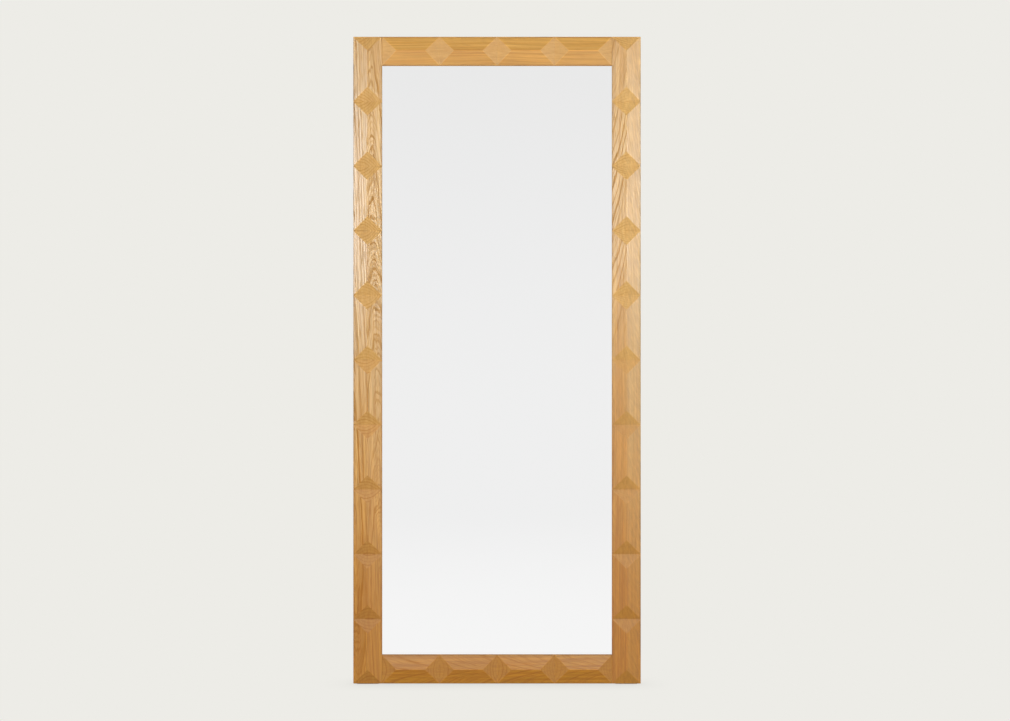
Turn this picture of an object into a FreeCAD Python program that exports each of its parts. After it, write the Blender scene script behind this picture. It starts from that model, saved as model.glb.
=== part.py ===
"""Full-length floor mirror in a carved oak frame, as an assembly of separate pieces.

X runs from left to right, Y from front to back and Z up. The origin is on the floor, under the middle
of the mirror's width and depth. All sizes are in millimetres.
"""
import FreeCAD, Part
import Sketcher
import math
import os

SIZES = [
    ("frame_width", 800, "overall width of the frame"),
    ("frame_height", 1800, "overall height of the frame"),
    ("stile_width", 80, "width of an upright"),
    ("rail_width", 80, "height of a cross member"),
    ("edge_depth", 25, "thickness of the frame along its edges"),
    ("ridge_rise", 10, "height of the carved ridges over the edges"),
    ("lip_depth", 5, "frame in front of the glass, along the sight edge"),
    ("stile_blocks", 10, "carved blocks on an upright"),
    ("rail_blocks", 4, "carved blocks on a cross member"),
    ("arris", 0.8, "easing of the frame's front edges"),
    ("glass_thickness", 5, "thickness of the mirror glass"),
    ("glass_bite", 9, "overlap of the glass behind the frame's lip"),
    ("glass_gap", 2, "room round the glass in its rebate"),
    ("setting_length", 40, "length of a block under the glass"),
    ("cushion_thickness", 1, "foam between glass and panel"),
    ("cushion_width", 16, "width of a foam strip"),
    ("panel_thickness", 6, "thickness of the back panel"),
    ("panel_bite", 26, "overlap of the panel on the frame, from the sight edge"),
    ("panel_gap", 1, "room round the panel in its rebate"),
    ("dowel_diameter", 10, "diameter of a dowel"),
    ("dowel_length", 70, "length of a dowel"),
    ("dowel_spacing", 26, "distance between the two dowels of a joint"),
    ("dowel_setback", 14, "dowel centre line in front of the frame's back"),
    ("dowel_chamfer", 1.5, "chamfer on a dowel's ends"),
    ("dowel_play", 0.1, "room round a dowel, on the radius"),
    ("dowel_end_room", 1, "room past each end of a dowel"),
    ("shank_diameter", 3, "shank of every screw"),
    ("shank_play", 0.1, "room round a shank, on the radius"),
    ("point_length", 3, "pointed end of a screw"),
    ("point_tip", 0.4, "diameter of the point's blunt tip"),
    ("pilot_run_out", 1, "depth of a pilot hole past the screw"),
    ("recess_span", 3.6, "width of the cross in a screw head"),
    ("recess_slot", 0.9, "width of the cross's arms"),
    ("recess_depth", 1.2, "depth of the cross"),
    ("panel_screw_length", 13, "length of a panel screw"),
    ("sunk_head_diameter", 6.6, "head of a panel screw"),
    ("sunk_head_depth", 2, "height of a panel screw's head"),
    ("side_screw_count", 6, "panel screws along an upright"),
    ("end_screw_count", 4, "panel screws along a cross member"),
    ("screw_corner_inset", 60, "first panel screw from the sight corner"),
    ("round_head_diameter", 6.4, "head of a hanger or bumper screw"),
    ("round_head_height", 2.2, "height of that head"),
    ("round_head_edge", 1, "straight edge under the head's dome"),
    ("round_screw_length", 16, "length of that screw under its head"),
    ("hanger_drop", 250, "ring bar below the top of the frame"),
    ("hanger_width", 14, "width of a hanger plate"),
    ("hanger_length", 56, "plate below the ring bar"),
    ("hanger_sheet", 1.5, "steel of a hanger plate"),
    ("hanger_corner", 4, "rounding of the plate's lower corners"),
    ("hanger_first_screw", 28, "first screw below the ring bar"),
    ("hanger_screw_pitch", 20, "distance between the plate's screws"),
    ("lip_drop", 1.5, "end of the rolled eye below the ring bar"),
    ("ring_wire", 3, "wire of a hanging ring"),
    ("ring_play", 0.3, "room round the ring bar in its eye"),
    ("ring_width", 24, "ring across, between wire centres"),
    ("ring_corner", 4, "bend at the ends of the ring bar"),
    ("ring_side", 6, "ring bar to the start of the bow"),
    ("bumper_diameter", 22, "diameter of a wall bumper"),
    ("bumper_thickness", 8, "wall bumper behind the frame"),
    ("bumper_round", 2, "rounding of a bumper's rim"),
    ("bumper_bore", 8, "recess for the bumper's screw head"),
    ("bumper_floor", 3.5, "rubber under the screw head"),
    ("bumper_drop", 40, "bumper centre below the top of the frame"),
    ("pad_length", 60, "length of a foot pad"),
    ("pad_depth", 19, "depth of a foot pad"),
    ("pad_thickness", 2, "thickness of a foot pad"),
    ("pad_corner", 4, "rounding of a pad's corners"),
    ("pad_inset", 1, "foot pad in front of the frame's back"),
]

# Places worked out from the sizes, as expressions for the sheet.
OUTER_X = "(Sizes.frame_width / 2)"
SIGHT_X = "(Sizes.frame_width / 2 - Sizes.stile_width)"
BASE_Z = "(Sizes.pad_thickness)"
TOP_Z = "(Sizes.pad_thickness + Sizes.frame_height)"
SIGHT_LOW_Z = f"({BASE_Z} + Sizes.rail_width)"
SIGHT_HIGH_Z = f"({TOP_Z} - Sizes.rail_width)"
BACK_Y = "((Sizes.edge_depth + Sizes.ridge_rise - Sizes.bumper_thickness) / 2)"
EDGE_Y = f"({BACK_Y} - Sizes.edge_depth)"
RIDGE_Y = f"({EDGE_Y} - Sizes.ridge_rise)"
GLASS_SEAT_Y = f"({EDGE_Y} + Sizes.lip_depth)"
CUSHION_SEAT_Y = f"({GLASS_SEAT_Y} + Sizes.glass_thickness)"
PANEL_SEAT_Y = f"({CUSHION_SEAT_Y} + Sizes.cushion_thickness)"
PANEL_BACK_Y = f"({PANEL_SEAT_Y} + Sizes.panel_thickness)"
GLASS_REACH = "(Sizes.glass_bite + Sizes.glass_gap)"
PANEL_REACH = "(Sizes.panel_bite + Sizes.panel_gap)"
# Panel screws stand midway between the glass rebate and the panel's edge.
SCREW_REACH = f"(({GLASS_REACH} + Sizes.panel_bite) / 2)"
# Dowels stand midway across the part of a rail that the rebates leave whole.
DOWEL_INSET = f"((Sizes.rail_width - {PANEL_REACH}) / 2)"
# Hangers and bumpers stand midway across the flat back of a stile.
BAND_X = f"(({SIGHT_X} + {PANEL_REACH} + {OUTER_X}) / 2)"
HANGER_Z = f"({TOP_Z} - Sizes.hanger_drop)"
EYE_INNER = "(Sizes.ring_wire / 2 + Sizes.ring_play)"
EYE_OUTER = f"({EYE_INNER} + Sizes.hanger_sheet)"
PILOT_DIAMETER = "(Sizes.shank_diameter + 2 * Sizes.shank_play)"

doc = FreeCAD.newDocument("floor_mirror")
sheet = doc.addObject("Spreadsheet::Sheet", "Sizes")
for row, (alias, value, meaning) in enumerate(SIZES, start=1):
    sheet.set(f"A{row}", alias)
    sheet.set(f"B{row}", str(value))
    sheet.set(f"C{row}", meaning)
    sheet.setAlias(f"B{row}", alias)
doc.recompute()

nodes = []


# Helpers

def number(expression):
    """The present value of an expression."""
    return float(sheet.evalExpression(expression))


def bind(item, prop, expression):
    """Tie a property to an expression of the sheet."""
    item.setExpression(prop, expression)


def place(item, x, y, z):
    """Tie a sub-part's position to three expressions."""
    for axis_name, expression in zip("xyz", (x, y, z)):
        bind(item, f"Placement.Base.{axis_name}", expression)


def new_body(name, several=False):
    """A body that is one sub-part; several allows separate solids in it."""
    body = doc.addObject("PartDesign::Body", name)
    body.AllowCompound = several
    nodes.append(body)
    return body


def datum(body, role):
    """A plane or axis of a body's own origin."""
    for feature in body.Origin.OriginFeatures:
        if feature.Role == role:
            return (feature, [""])
    raise ValueError(role)


def sketch_on(body, name, plane, lift="0"):
    """A sketch on one of the body's planes, moved along X, Y or Z by lift."""
    sketch = body.newObject("Sketcher::SketchObject", name)
    sketch.AttachmentSupport = datum(body, plane)
    sketch.MapMode = "FlatFace"
    # The normal of the XZ plane points to the front.
    facing = -1 if plane == "XZ_Plane" else 1
    bind(sketch, "AttachmentOffset.Base.z", f"{facing} * ({lift})")
    return sketch


def pin_point(sketch, geometry, position, across, up):
    """Fix a point of a sketch at two expressions."""
    for kind, expression in (("DistanceX", across), ("DistanceY", up)):
        constraint = Sketcher.Constraint(kind, -1, 1, geometry, position, number(expression))
        index = sketch.addConstraint(constraint)
        bind(sketch, f"Constraints[{index}]", expression)


def bow(start, end, radius, turn):
    """Arc of less than half a circle from start to end; turn is 1 anticlockwise, -1 clockwise."""
    chord = end - start
    middle = (start + end) / 2
    height = math.sqrt(max(radius ** 2 - (chord.Length / 2) ** 2, 0))
    left = FreeCAD.Vector(-chord.y, chord.x, 0).normalize()
    centre = middle + left * height * turn
    circle = Part.Circle(centre, FreeCAD.Vector(0, 0, 1), radius)
    first, last = (start, end) if turn > 0 else (end, start)
    return Part.ArcOfCircle(circle, circle.parameter(first), circle.parameter(last))


def outline(sketch, corners):
    """Closed outline. A corner is (across, up), or (across, up, radius, turn) where an arc leads to it."""
    points = [FreeCAD.Vector(number(corner[0]), number(corner[1]), 0) for corner in corners]
    ends = []
    for index, start in enumerate(points):
        following = (index + 1) % len(points)
        arc = corners[following][2:]
        if arc:
            edge = bow(start, points[following], number(arc[0]), arc[1])
        else:
            edge = Part.LineSegment(start, points[following])
        geometry = sketch.addGeometry(edge, False)
        ends.append((geometry, 2, 1) if arc and arc[1] < 0 else (geometry, 1, 2))
    for index, (geometry, first, last) in enumerate(ends):
        following = (index + 1) % len(points)
        after, after_first, _ = ends[following]
        sketch.addConstraint(Sketcher.Constraint("Coincident", geometry, last, after, after_first))
        pin_point(sketch, geometry, first, corners[index][0], corners[index][1])
        arc = corners[following][2:]
        if arc:
            radius = sketch.addConstraint(Sketcher.Constraint("Radius", geometry, number(arc[0])))
            bind(sketch, f"Constraints[{radius}]", arc[0])


def rectangle(sketch, low, high):
    """Rectangle between two opposite corners, each a pair of expressions."""
    outline(sketch, [low, (high[0], low[1]), high, (low[0], high[1])])


def circle(sketch, across, up, diameter):
    """Circle about a point."""
    middle = FreeCAD.Vector(number(across), number(up), 0)
    normal = FreeCAD.Vector(0, 0, 1)
    geometry = sketch.addGeometry(Part.Circle(middle, normal, number(diameter) / 2), False)
    pin_point(sketch, geometry, 3, across, up)
    index = sketch.addConstraint(Sketcher.Constraint("Diameter", geometry, number(diameter)))
    bind(sketch, f"Constraints[{index}]", diameter)


def pad(body, sketch, length, symmetric=False):
    """Extrude a sketch along its plane's normal, or to both sides."""
    feature = body.newObject("PartDesign::Pad", sketch.Name + "_pad")
    feature.Profile = sketch
    feature.SideType = "Symmetric" if symmetric else "One side"
    bind(feature, "Length", length)
    doc.recompute()
    return feature


def turned(body, sketch, axis):
    """Turn a sketch about one of the body's axes."""
    feature = body.newObject("PartDesign::Revolution", sketch.Name + "_turned")
    feature.Profile = sketch
    feature.ReferenceAxis = datum(body, axis)
    feature.Angle = 360
    doc.recompute()
    return feature


def cut(body, sketch, depth=None, reverse=False):
    """Pocket of a depth, or right through both ways; raises where it removes nothing."""
    before = body.Shape.Volume
    feature = body.newObject("PartDesign::Pocket", sketch.Name + "_cut")
    feature.Profile = sketch
    if depth is None:
        feature.SideType = "Symmetric"
        feature.Type = "ThroughAll"
    else:
        feature.Reversed = reverse
        bind(feature, "Length", depth)
    doc.recompute()
    if not body.Shape.Volume < before:
        raise RuntimeError(feature.Label + " cuts nothing")
    return feature


def row_of(body, features, axis, length, count):
    """Repeat features along one of the body's axes, evenly over a length."""
    pattern = body.newObject("PartDesign::LinearPattern", features[0].Name + "_row")
    pattern.Originals = features
    pattern.Direction = datum(body, axis)
    bind(pattern, "Length", length)
    bind(pattern, "Occurrences", count)
    body.Tip = pattern
    doc.recompute()
    return pattern


def grid_of(body, features, axis, length, count, second_axis, second_length):
    """Repeat features along one axis, and all of that once more along another."""
    pattern = row_of(body, features, axis, length, count)
    pattern.Direction2 = datum(body, second_axis)
    pattern.Occurrences2 = 2
    bind(pattern, "Length2", second_length)
    doc.recompute()
    return pattern


def mirrored(body, features, plane):
    """Repeat features on the other side of one of the body's planes."""
    mirror = body.newObject("PartDesign::Mirrored", features[0].Name + "_mirror")
    mirror.Originals = features
    mirror.MirrorPlane = datum(body, plane)
    body.Tip = mirror
    doc.recompute()
    return mirror


def slab(name, length, width, height, x, y, z):
    """Plain rectangular piece with its lowest corner at a place."""
    piece = doc.addObject("Part::Box", name)
    for prop, expression in (("Length", length), ("Width", width), ("Height", height)):
        bind(piece, prop, expression)
    place(piece, x, y, z)
    nodes.append(piece)
    return piece


# Carved oak frame

def make_stile(name, side):
    """Upright with hipped blocks, a stopped rebate, dowel holes and pilot holes; side is -1 left, 1 right."""
    body = new_body(name)
    outer = f"{side} * {OUTER_X}"
    sight = f"{side} * {SIGHT_X}"
    eased_y = f"{EDGE_Y} - Sizes.arris * 2 * Sizes.ridge_rise / Sizes.stile_width"
    section = sketch_on(body, name + "_section", "XY_Plane", BASE_Z)
    outline(section, [
        (outer, BACK_Y),
        (outer, f"{EDGE_Y} + Sizes.arris"),
        (f"{side} * ({OUTER_X} - Sizes.arris)", eased_y),
        (f"{side} * ({OUTER_X} - Sizes.stile_width / 2)", RIDGE_Y),
        (f"{side} * ({SIGHT_X} + Sizes.arris)", eased_y),
        (sight, f"{EDGE_Y} + Sizes.arris"),
        (sight, BACK_Y),
    ])
    pad(body, section, "Sizes.frame_height")

    # The valleys between blocks fall as steeply as the long slopes, and are cut twice as high as the ridge.
    valley = sketch_on(body, name + "_valley", "YZ_Plane", f"{side} * ({OUTER_X} - Sizes.stile_width / 2)")
    outline(valley, [
        (EDGE_Y, BASE_Z),
        (f"{EDGE_Y} - 2 * Sizes.ridge_rise", f"{BASE_Z} + Sizes.stile_width"),
        (f"{EDGE_Y} - 2 * Sizes.ridge_rise", f"{BASE_Z} - Sizes.stile_width"),
    ])
    row_of(body, [cut(body, valley)], "Z_Axis", "Sizes.frame_height", "Sizes.stile_blocks + 1")

    seats = (("panel", PANEL_REACH, PANEL_SEAT_Y), ("glass", GLASS_REACH, GLASS_SEAT_Y))
    for seat, reach, seat_y in seats:
        rebate = sketch_on(body, f"{name}_{seat}_rebate", "XZ_Plane", BACK_Y)
        low = (sight, f"{SIGHT_LOW_Z} - {reach}")
        high = (f"{side} * ({SIGHT_X} + {reach})", f"{SIGHT_HIGH_Z} + {reach}")
        rectangle(rebate, low, high)
        cut(body, rebate, f"{BACK_Y} - {seat_y}", reverse=True)

    sockets = sketch_on(body, name + "_dowel_sockets", "YZ_Plane", sight)
    for middle in (f"{BASE_Z} + {DOWEL_INSET}", f"{TOP_Z} - {DOWEL_INSET}"):
        for step in ("-", "+"):
            circle(sockets, f"{BACK_Y} - Sizes.dowel_setback", f"{middle} {step} Sizes.dowel_spacing / 2",
                   "Sizes.dowel_diameter + 2 * Sizes.dowel_play")
    cut(body, sockets, "Sizes.dowel_length / 2 + Sizes.dowel_end_room", reverse=side > 0)

    pilot = sketch_on(body, name + "_panel_pilot", "XZ_Plane", PANEL_BACK_Y)
    circle(pilot, f"{side} * ({SIGHT_X} + {SCREW_REACH})", f"{SIGHT_LOW_Z} + Sizes.screw_corner_inset",
           PILOT_DIAMETER)
    drilled = cut(body, pilot, "Sizes.panel_screw_length + Sizes.pilot_run_out", reverse=True)
    row_of(body, [drilled], "Z_Axis", f"{SIGHT_HIGH_Z} - {SIGHT_LOW_Z} - 2 * Sizes.screw_corner_inset",
           "Sizes.side_screw_count")

    band = f"{side} * {BAND_X}"
    hanger = sketch_on(body, name + "_hanger_pilots", "XZ_Plane", BACK_Y)
    for drop in ("Sizes.hanger_first_screw", "(Sizes.hanger_first_screw + Sizes.hanger_screw_pitch)"):
        circle(hanger, band, f"{HANGER_Z} - {drop}", PILOT_DIAMETER)
    cut(body, hanger, "Sizes.round_screw_length - Sizes.hanger_sheet + Sizes.pilot_run_out", reverse=True)
    bumper = sketch_on(body, name + "_bumper_pilot", "XZ_Plane", BACK_Y)
    circle(bumper, band, f"{TOP_Z} - Sizes.bumper_drop", PILOT_DIAMETER)
    cut(body, bumper, "Sizes.round_screw_length - Sizes.bumper_floor + Sizes.pilot_run_out", reverse=True)


def make_rail(name, side):
    """Cross member with hipped blocks and a through rebate; side is -1 at the bottom, 1 at the top."""
    body = new_body(name)
    outer_z = TOP_Z if side > 0 else BASE_Z
    sight_z = SIGHT_HIGH_Z if side > 0 else SIGHT_LOW_Z
    middle_z = f"({outer_z} - {side} * Sizes.rail_width / 2)"
    dowel_z = f"({outer_z} - {side} * {DOWEL_INSET})"
    eased_y = f"{EDGE_Y} - Sizes.arris * 2 * Sizes.ridge_rise / Sizes.rail_width"
    section = sketch_on(body, name + "_section", "YZ_Plane")
    outline(section, [
        (BACK_Y, outer_z),
        (f"{EDGE_Y} + Sizes.arris", outer_z),
        (eased_y, f"{outer_z} - {side} * Sizes.arris"),
        (RIDGE_Y, middle_z),
        (eased_y, f"{sight_z} + {side} * Sizes.arris"),
        (f"{EDGE_Y} + Sizes.arris", sight_z),
        (GLASS_SEAT_Y, sight_z),
        (GLASS_SEAT_Y, f"{sight_z} + {side} * {GLASS_REACH}"),
        (PANEL_SEAT_Y, f"{sight_z} + {side} * {GLASS_REACH}"),
        (PANEL_SEAT_Y, f"{sight_z} + {side} * {PANEL_REACH}"),
        (BACK_Y, f"{sight_z} + {side} * {PANEL_REACH}"),
    ])
    pad(body, section, f"2 * {SIGHT_X}", symmetric=True)

    valley = sketch_on(body, name + "_valley", "XY_Plane", middle_z)
    outline(valley, [
        (f"-{SIGHT_X}", EDGE_Y),
        (f"-{SIGHT_X} - Sizes.rail_width", f"{EDGE_Y} - 2 * Sizes.ridge_rise"),
        (f"-{SIGHT_X} + Sizes.rail_width", f"{EDGE_Y} - 2 * Sizes.ridge_rise"),
    ])
    row_of(body, [cut(body, valley)], "X_Axis", f"2 * {SIGHT_X}", "Sizes.rail_blocks + 1")

    sockets = sketch_on(body, name + "_dowel_sockets", "YZ_Plane", SIGHT_X)
    for step in ("-", "+"):
        circle(sockets, f"{BACK_Y} - Sizes.dowel_setback", f"{dowel_z} {step} Sizes.dowel_spacing / 2",
               "Sizes.dowel_diameter + 2 * Sizes.dowel_play")
    drilled = cut(body, sockets, "Sizes.dowel_length / 2 + Sizes.dowel_end_room")
    mirrored(body, [drilled], "YZ_Plane")

    pilot = sketch_on(body, name + "_panel_pilot", "XZ_Plane", PANEL_BACK_Y)
    circle(pilot, f"Sizes.screw_corner_inset - {SIGHT_X}", f"{sight_z} + {side} * {SCREW_REACH}",
           PILOT_DIAMETER)
    drilled = cut(body, pilot, "Sizes.panel_screw_length + Sizes.pilot_run_out", reverse=True)
    row_of(body, [drilled], "X_Axis", f"2 * ({SIGHT_X} - Sizes.screw_corner_inset)", "Sizes.end_screw_count")


def make_dowels(name, side, rail_side):
    """Two chamfered dowels across one corner joint."""
    body = new_body(name, several=True)
    half = "Sizes.dowel_length / 2"
    radius = "Sizes.dowel_diameter / 2"
    section = sketch_on(body, name + "_section", "XY_Plane")
    outline(section, [
        (f"-{half}", "0"),
        (half, "0"),
        (half, f"{radius} - Sizes.dowel_chamfer"),
        (f"{half} - Sizes.dowel_chamfer", radius),
        (f"Sizes.dowel_chamfer - {half}", radius),
        (f"-{half}", f"{radius} - Sizes.dowel_chamfer"),
    ])
    row_of(body, [turned(body, section, "X_Axis")], "Z_Axis", "Sizes.dowel_spacing", "2")
    outer_z = TOP_Z if rail_side > 0 else BASE_Z
    place(body, f"{side} * {SIGHT_X}", f"{BACK_Y} - Sizes.dowel_setback",
          f"{outer_z} - {rail_side} * {DOWEL_INSET} - Sizes.dowel_spacing / 2")


# Glass and what beds it

def make_glazing():
    """Mirror glass, the blocks that it stands on and the foam strips behind it."""
    glass_x = f"({SIGHT_X} + Sizes.glass_bite)"
    glass_low = f"({SIGHT_LOW_Z} - Sizes.glass_bite)"
    glass_high = f"({SIGHT_HIGH_Z} + Sizes.glass_bite)"
    slab("mirror_glass", f"2 * {glass_x}", "Sizes.glass_thickness", f"{glass_high} - {glass_low}",
         f"-{glass_x}", GLASS_SEAT_Y, glass_low)
    for name, side in (("left_setting_block", -1), ("right_setting_block", 1)):
        slab(name, "Sizes.setting_length", "Sizes.glass_thickness", "Sizes.glass_gap",
             f"({side} * {SIGHT_X} - Sizes.setting_length) / 2", GLASS_SEAT_Y,
             f"{glass_low} - Sizes.glass_gap")
    for name, x in (("left_cushion", f"-{glass_x}"), ("right_cushion", f"{glass_x} - Sizes.cushion_width")):
        slab(name, "Sizes.cushion_width", "Sizes.cushion_thickness", f"{glass_high} - {glass_low}",
             x, CUSHION_SEAT_Y, glass_low)
    for name, z in (("bottom_cushion", glass_low), ("top_cushion", f"{glass_high} - Sizes.cushion_width")):
        slab(name, f"2 * ({glass_x} - Sizes.cushion_width)", "Sizes.cushion_thickness", "Sizes.cushion_width",
             f"Sizes.cushion_width - {glass_x}", CUSHION_SEAT_Y, z)


def make_back_panel():
    """Sheet let into the frame's back, with countersunk holes along all four edges."""
    body = new_body("back_panel")
    edge_x = f"({SIGHT_X} + Sizes.panel_bite)"
    sheet_outline = sketch_on(body, "panel_outline", "XZ_Plane", PANEL_BACK_Y)
    rectangle(sheet_outline, (f"-{edge_x}", f"{SIGHT_LOW_Z} - Sizes.panel_bite"),
              (edge_x, f"{SIGHT_HIGH_Z} + Sizes.panel_bite"))
    pad(body, sheet_outline, "Sizes.panel_thickness")
    screw_x = f"({SIGHT_X} + {SCREW_REACH})"
    inset_x = f"({SIGHT_X} - Sizes.screw_corner_inset)"
    inset_low = f"({SIGHT_LOW_Z} + Sizes.screw_corner_inset)"
    inset_high = f"({SIGHT_HIGH_Z} - Sizes.screw_corner_inset)"
    screw_low = f"({SIGHT_LOW_Z} - {SCREW_REACH})"
    screw_high = f"({SIGHT_HIGH_Z} + {SCREW_REACH})"
    side_holes = countersunk(body, "panel_side_hole", f"-{screw_x}", inset_low)
    grid_of(body, side_holes, "Z_Axis", f"{inset_high} - {inset_low}", "Sizes.side_screw_count",
            "X_Axis", f"2 * {screw_x}")
    end_holes = countersunk(body, "panel_end_hole", f"-{inset_x}", screw_low)
    grid_of(body, end_holes, "X_Axis", f"2 * {inset_x}", "Sizes.end_screw_count",
            "Z_Axis", f"{screw_high} - {screw_low}")


def countersunk(body, name, x, z):
    """Clearance hole with a conical mouth, from the back of the panel."""
    hole = sketch_on(body, name, "XZ_Plane", PANEL_BACK_Y)
    circle(hole, x, z, PILOT_DIAMETER)
    drilled = cut(body, hole)
    mouth = sketch_on(body, name + "_mouth", "XZ_Plane", PANEL_BACK_Y)
    circle(mouth, x, z, "Sizes.sunk_head_diameter + 2 * Sizes.shank_play")
    flared = cut(body, mouth, "Sizes.sunk_head_depth", reverse=True)
    bind(flared, "TaperAngle", "-atan((Sizes.sunk_head_diameter - Sizes.shank_diameter) / 2"
         " / Sizes.sunk_head_depth)")
    doc.recompute()
    return [drilled, flared]


# Screws, modelled with the top of the head at the origin and the shank towards the front

def cross_recess(body, name, depth):
    """Cross cut into the top of a screw's head."""
    arm = "Sizes.recess_span / 2"
    slot = "Sizes.recess_slot / 2"
    cross = sketch_on(body, name + "_cross", "XZ_Plane")
    outline(cross, [
        (arm, f"-{slot}"), (arm, slot), (slot, slot),
        (slot, arm), (f"-{slot}", arm), (f"-{slot}", slot),
        (f"-{arm}", slot), (f"-{arm}", f"-{slot}"), (f"-{slot}", f"-{slot}"),
        (f"-{slot}", f"-{arm}"), (slot, f"-{arm}"), (slot, f"-{slot}"),
    ])
    return cut(body, cross, depth, reverse=True)


def make_sunk_screw(name):
    """One countersunk screw, ready to be repeated."""
    body = new_body(name, several=True)
    shank = "Sizes.shank_diameter / 2"
    section = sketch_on(body, name + "_section", "XY_Plane")
    outline(section, [
        ("0", "0"),
        ("0", "-Sizes.panel_screw_length"),
        ("Sizes.point_tip / 2", "-Sizes.panel_screw_length"),
        (shank, "Sizes.point_length - Sizes.panel_screw_length"),
        (shank, "-Sizes.sunk_head_depth"),
        ("Sizes.sunk_head_diameter / 2", "0"),
    ])
    screw = turned(body, section, "Y_Axis")
    return body, [screw, cross_recess(body, name, "Sizes.recess_depth")]


def make_panel_screws():
    """The screws along the two uprights, and those along the two cross members."""
    body, screw = make_sunk_screw("side_panel_screws")
    grid_of(body, screw, "Z_Axis", f"{SIGHT_HIGH_Z} - {SIGHT_LOW_Z} - 2 * Sizes.screw_corner_inset",
            "Sizes.side_screw_count", "X_Axis", f"2 * ({SIGHT_X} + {SCREW_REACH})")
    place(body, f"-({SIGHT_X} + {SCREW_REACH})", PANEL_BACK_Y, f"{SIGHT_LOW_Z} + Sizes.screw_corner_inset")
    body, screw = make_sunk_screw("end_panel_screws")
    grid_of(body, screw, "X_Axis", f"2 * ({SIGHT_X} - Sizes.screw_corner_inset)", "Sizes.end_screw_count",
            "Z_Axis", f"{SIGHT_HIGH_Z} - {SIGHT_LOW_Z} + 2 * {SCREW_REACH}")
    place(body, f"Sizes.screw_corner_inset - {SIGHT_X}", PANEL_BACK_Y, f"{SIGHT_LOW_Z} - {SCREW_REACH}")


def make_round_screws(name, count, x, seat_y, z):
    """Screws with domed heads that bear on a seat, one above another."""
    body = new_body(name, several=True)
    shank = "Sizes.shank_diameter / 2"
    head = "(Sizes.round_head_diameter / 2)"
    dome = "(Sizes.round_head_height - Sizes.round_head_edge)"
    section = sketch_on(body, name + "_section", "XY_Plane")
    outline(section, [
        ("0", "0", f"({head} * {head} + {dome} * {dome}) / (2 * {dome})", 1),
        ("0", "-Sizes.round_head_height - Sizes.round_screw_length"),
        ("Sizes.point_tip / 2", "-Sizes.round_head_height - Sizes.round_screw_length"),
        (shank, "Sizes.point_length - Sizes.round_head_height - Sizes.round_screw_length"),
        (shank, "-Sizes.round_head_height"),
        (head, "-Sizes.round_head_height"),
        (head, f"-{dome}"),
    ])
    screw = turned(body, section, "Y_Axis")
    screw = [screw, cross_recess(body, name, "Sizes.recess_depth")]
    if count > 1:
        row_of(body, screw, "Z_Axis", f"{count - 1} * Sizes.hanger_screw_pitch", str(count))
    place(body, x, f"{seat_y} + Sizes.round_head_height", z)


# Hanging hardware, modelled about the bar of its ring

def make_hanger_plate(name, side):
    """Steel strap with its upper end rolled into an eye round the ring bar."""
    body = new_body(name)
    profile = sketch_on(body, name + "_profile", "YZ_Plane")
    outline(profile, [
        (f"-{EYE_OUTER}", "-Sizes.hanger_length"),
        (f"-{EYE_OUTER}", "0"),
        ("0", EYE_OUTER, EYE_OUTER, -1),
        (EYE_OUTER, "0", EYE_OUTER, -1),
        (f"sqrt({EYE_OUTER} ^ 2 - Sizes.lip_drop ^ 2)", "-Sizes.lip_drop", EYE_OUTER, -1),
        (f"sqrt({EYE_INNER} ^ 2 - Sizes.lip_drop ^ 2)", "-Sizes.lip_drop"),
        (EYE_INNER, "0", EYE_INNER, 1),
        ("0", EYE_INNER, EYE_INNER, 1),
        (f"-{EYE_INNER}", "0", EYE_INNER, 1),
        (f"-{EYE_INNER}", "-Sizes.hanger_length"),
    ])
    strap = pad(body, profile, "Sizes.hanger_width", symmetric=True)
    low = -number("Sizes.hanger_length")
    across = [f"Edge{index}" for index, edge in enumerate(strap.Shape.Edges, start=1)
              if edge.BoundBox.ZMax < low + 0.01 and edge.BoundBox.XLength < 0.01]
    rounding = body.newObject("PartDesign::Fillet", name + "_rounding")
    rounding.Base = (strap, across)
    bind(rounding, "Radius", "Sizes.hanger_corner")
    doc.recompute()
    holes = sketch_on(body, name + "_holes", "XZ_Plane")
    for drop in ("Sizes.hanger_first_screw", "(Sizes.hanger_first_screw + Sizes.hanger_screw_pitch)"):
        circle(holes, "0", f"-{drop}", PILOT_DIAMETER)
    cut(body, holes)
    place(body, f"{side} * {BAND_X}", f"{BACK_Y} + {EYE_OUTER}", HANGER_Z)


def make_hanger_ring(name, side):
    """D-shaped ring of round wire, hanging from its straight bar."""
    body = new_body(name)
    reach = "(Sizes.ring_width / 2)"
    bend = "Sizes.ring_corner"
    path = sketch_on(body, name + "_path", "XZ_Plane")
    outline(path, [
        ("0", "0"),
        (f"{reach} - {bend}", "0"),
        (reach, f"-{bend}", bend, -1),
        (reach, "-Sizes.ring_side"),
        ("0", f"-Sizes.ring_side - {reach}", reach, -1),
        (f"-{reach}", "-Sizes.ring_side", reach, -1),
        (f"-{reach}", f"-{bend}"),
        (f"{bend} - {reach}", "0", bend, -1),
    ])
    section = sketch_on(body, name + "_wire", "YZ_Plane")
    circle(section, "0", "0", "Sizes.ring_wire")
    doc.recompute()
    wire = body.newObject("PartDesign::AdditivePipe", name + "_sweep")
    wire.Profile = section
    wire.Spine = (path, [f"Edge{index}" for index in range(1, len(path.Shape.Edges) + 1)])
    doc.recompute()
    place(body, f"{side} * {BAND_X}", f"{BACK_Y} + {EYE_OUTER}", HANGER_Z)


# Bumpers and feet

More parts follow.
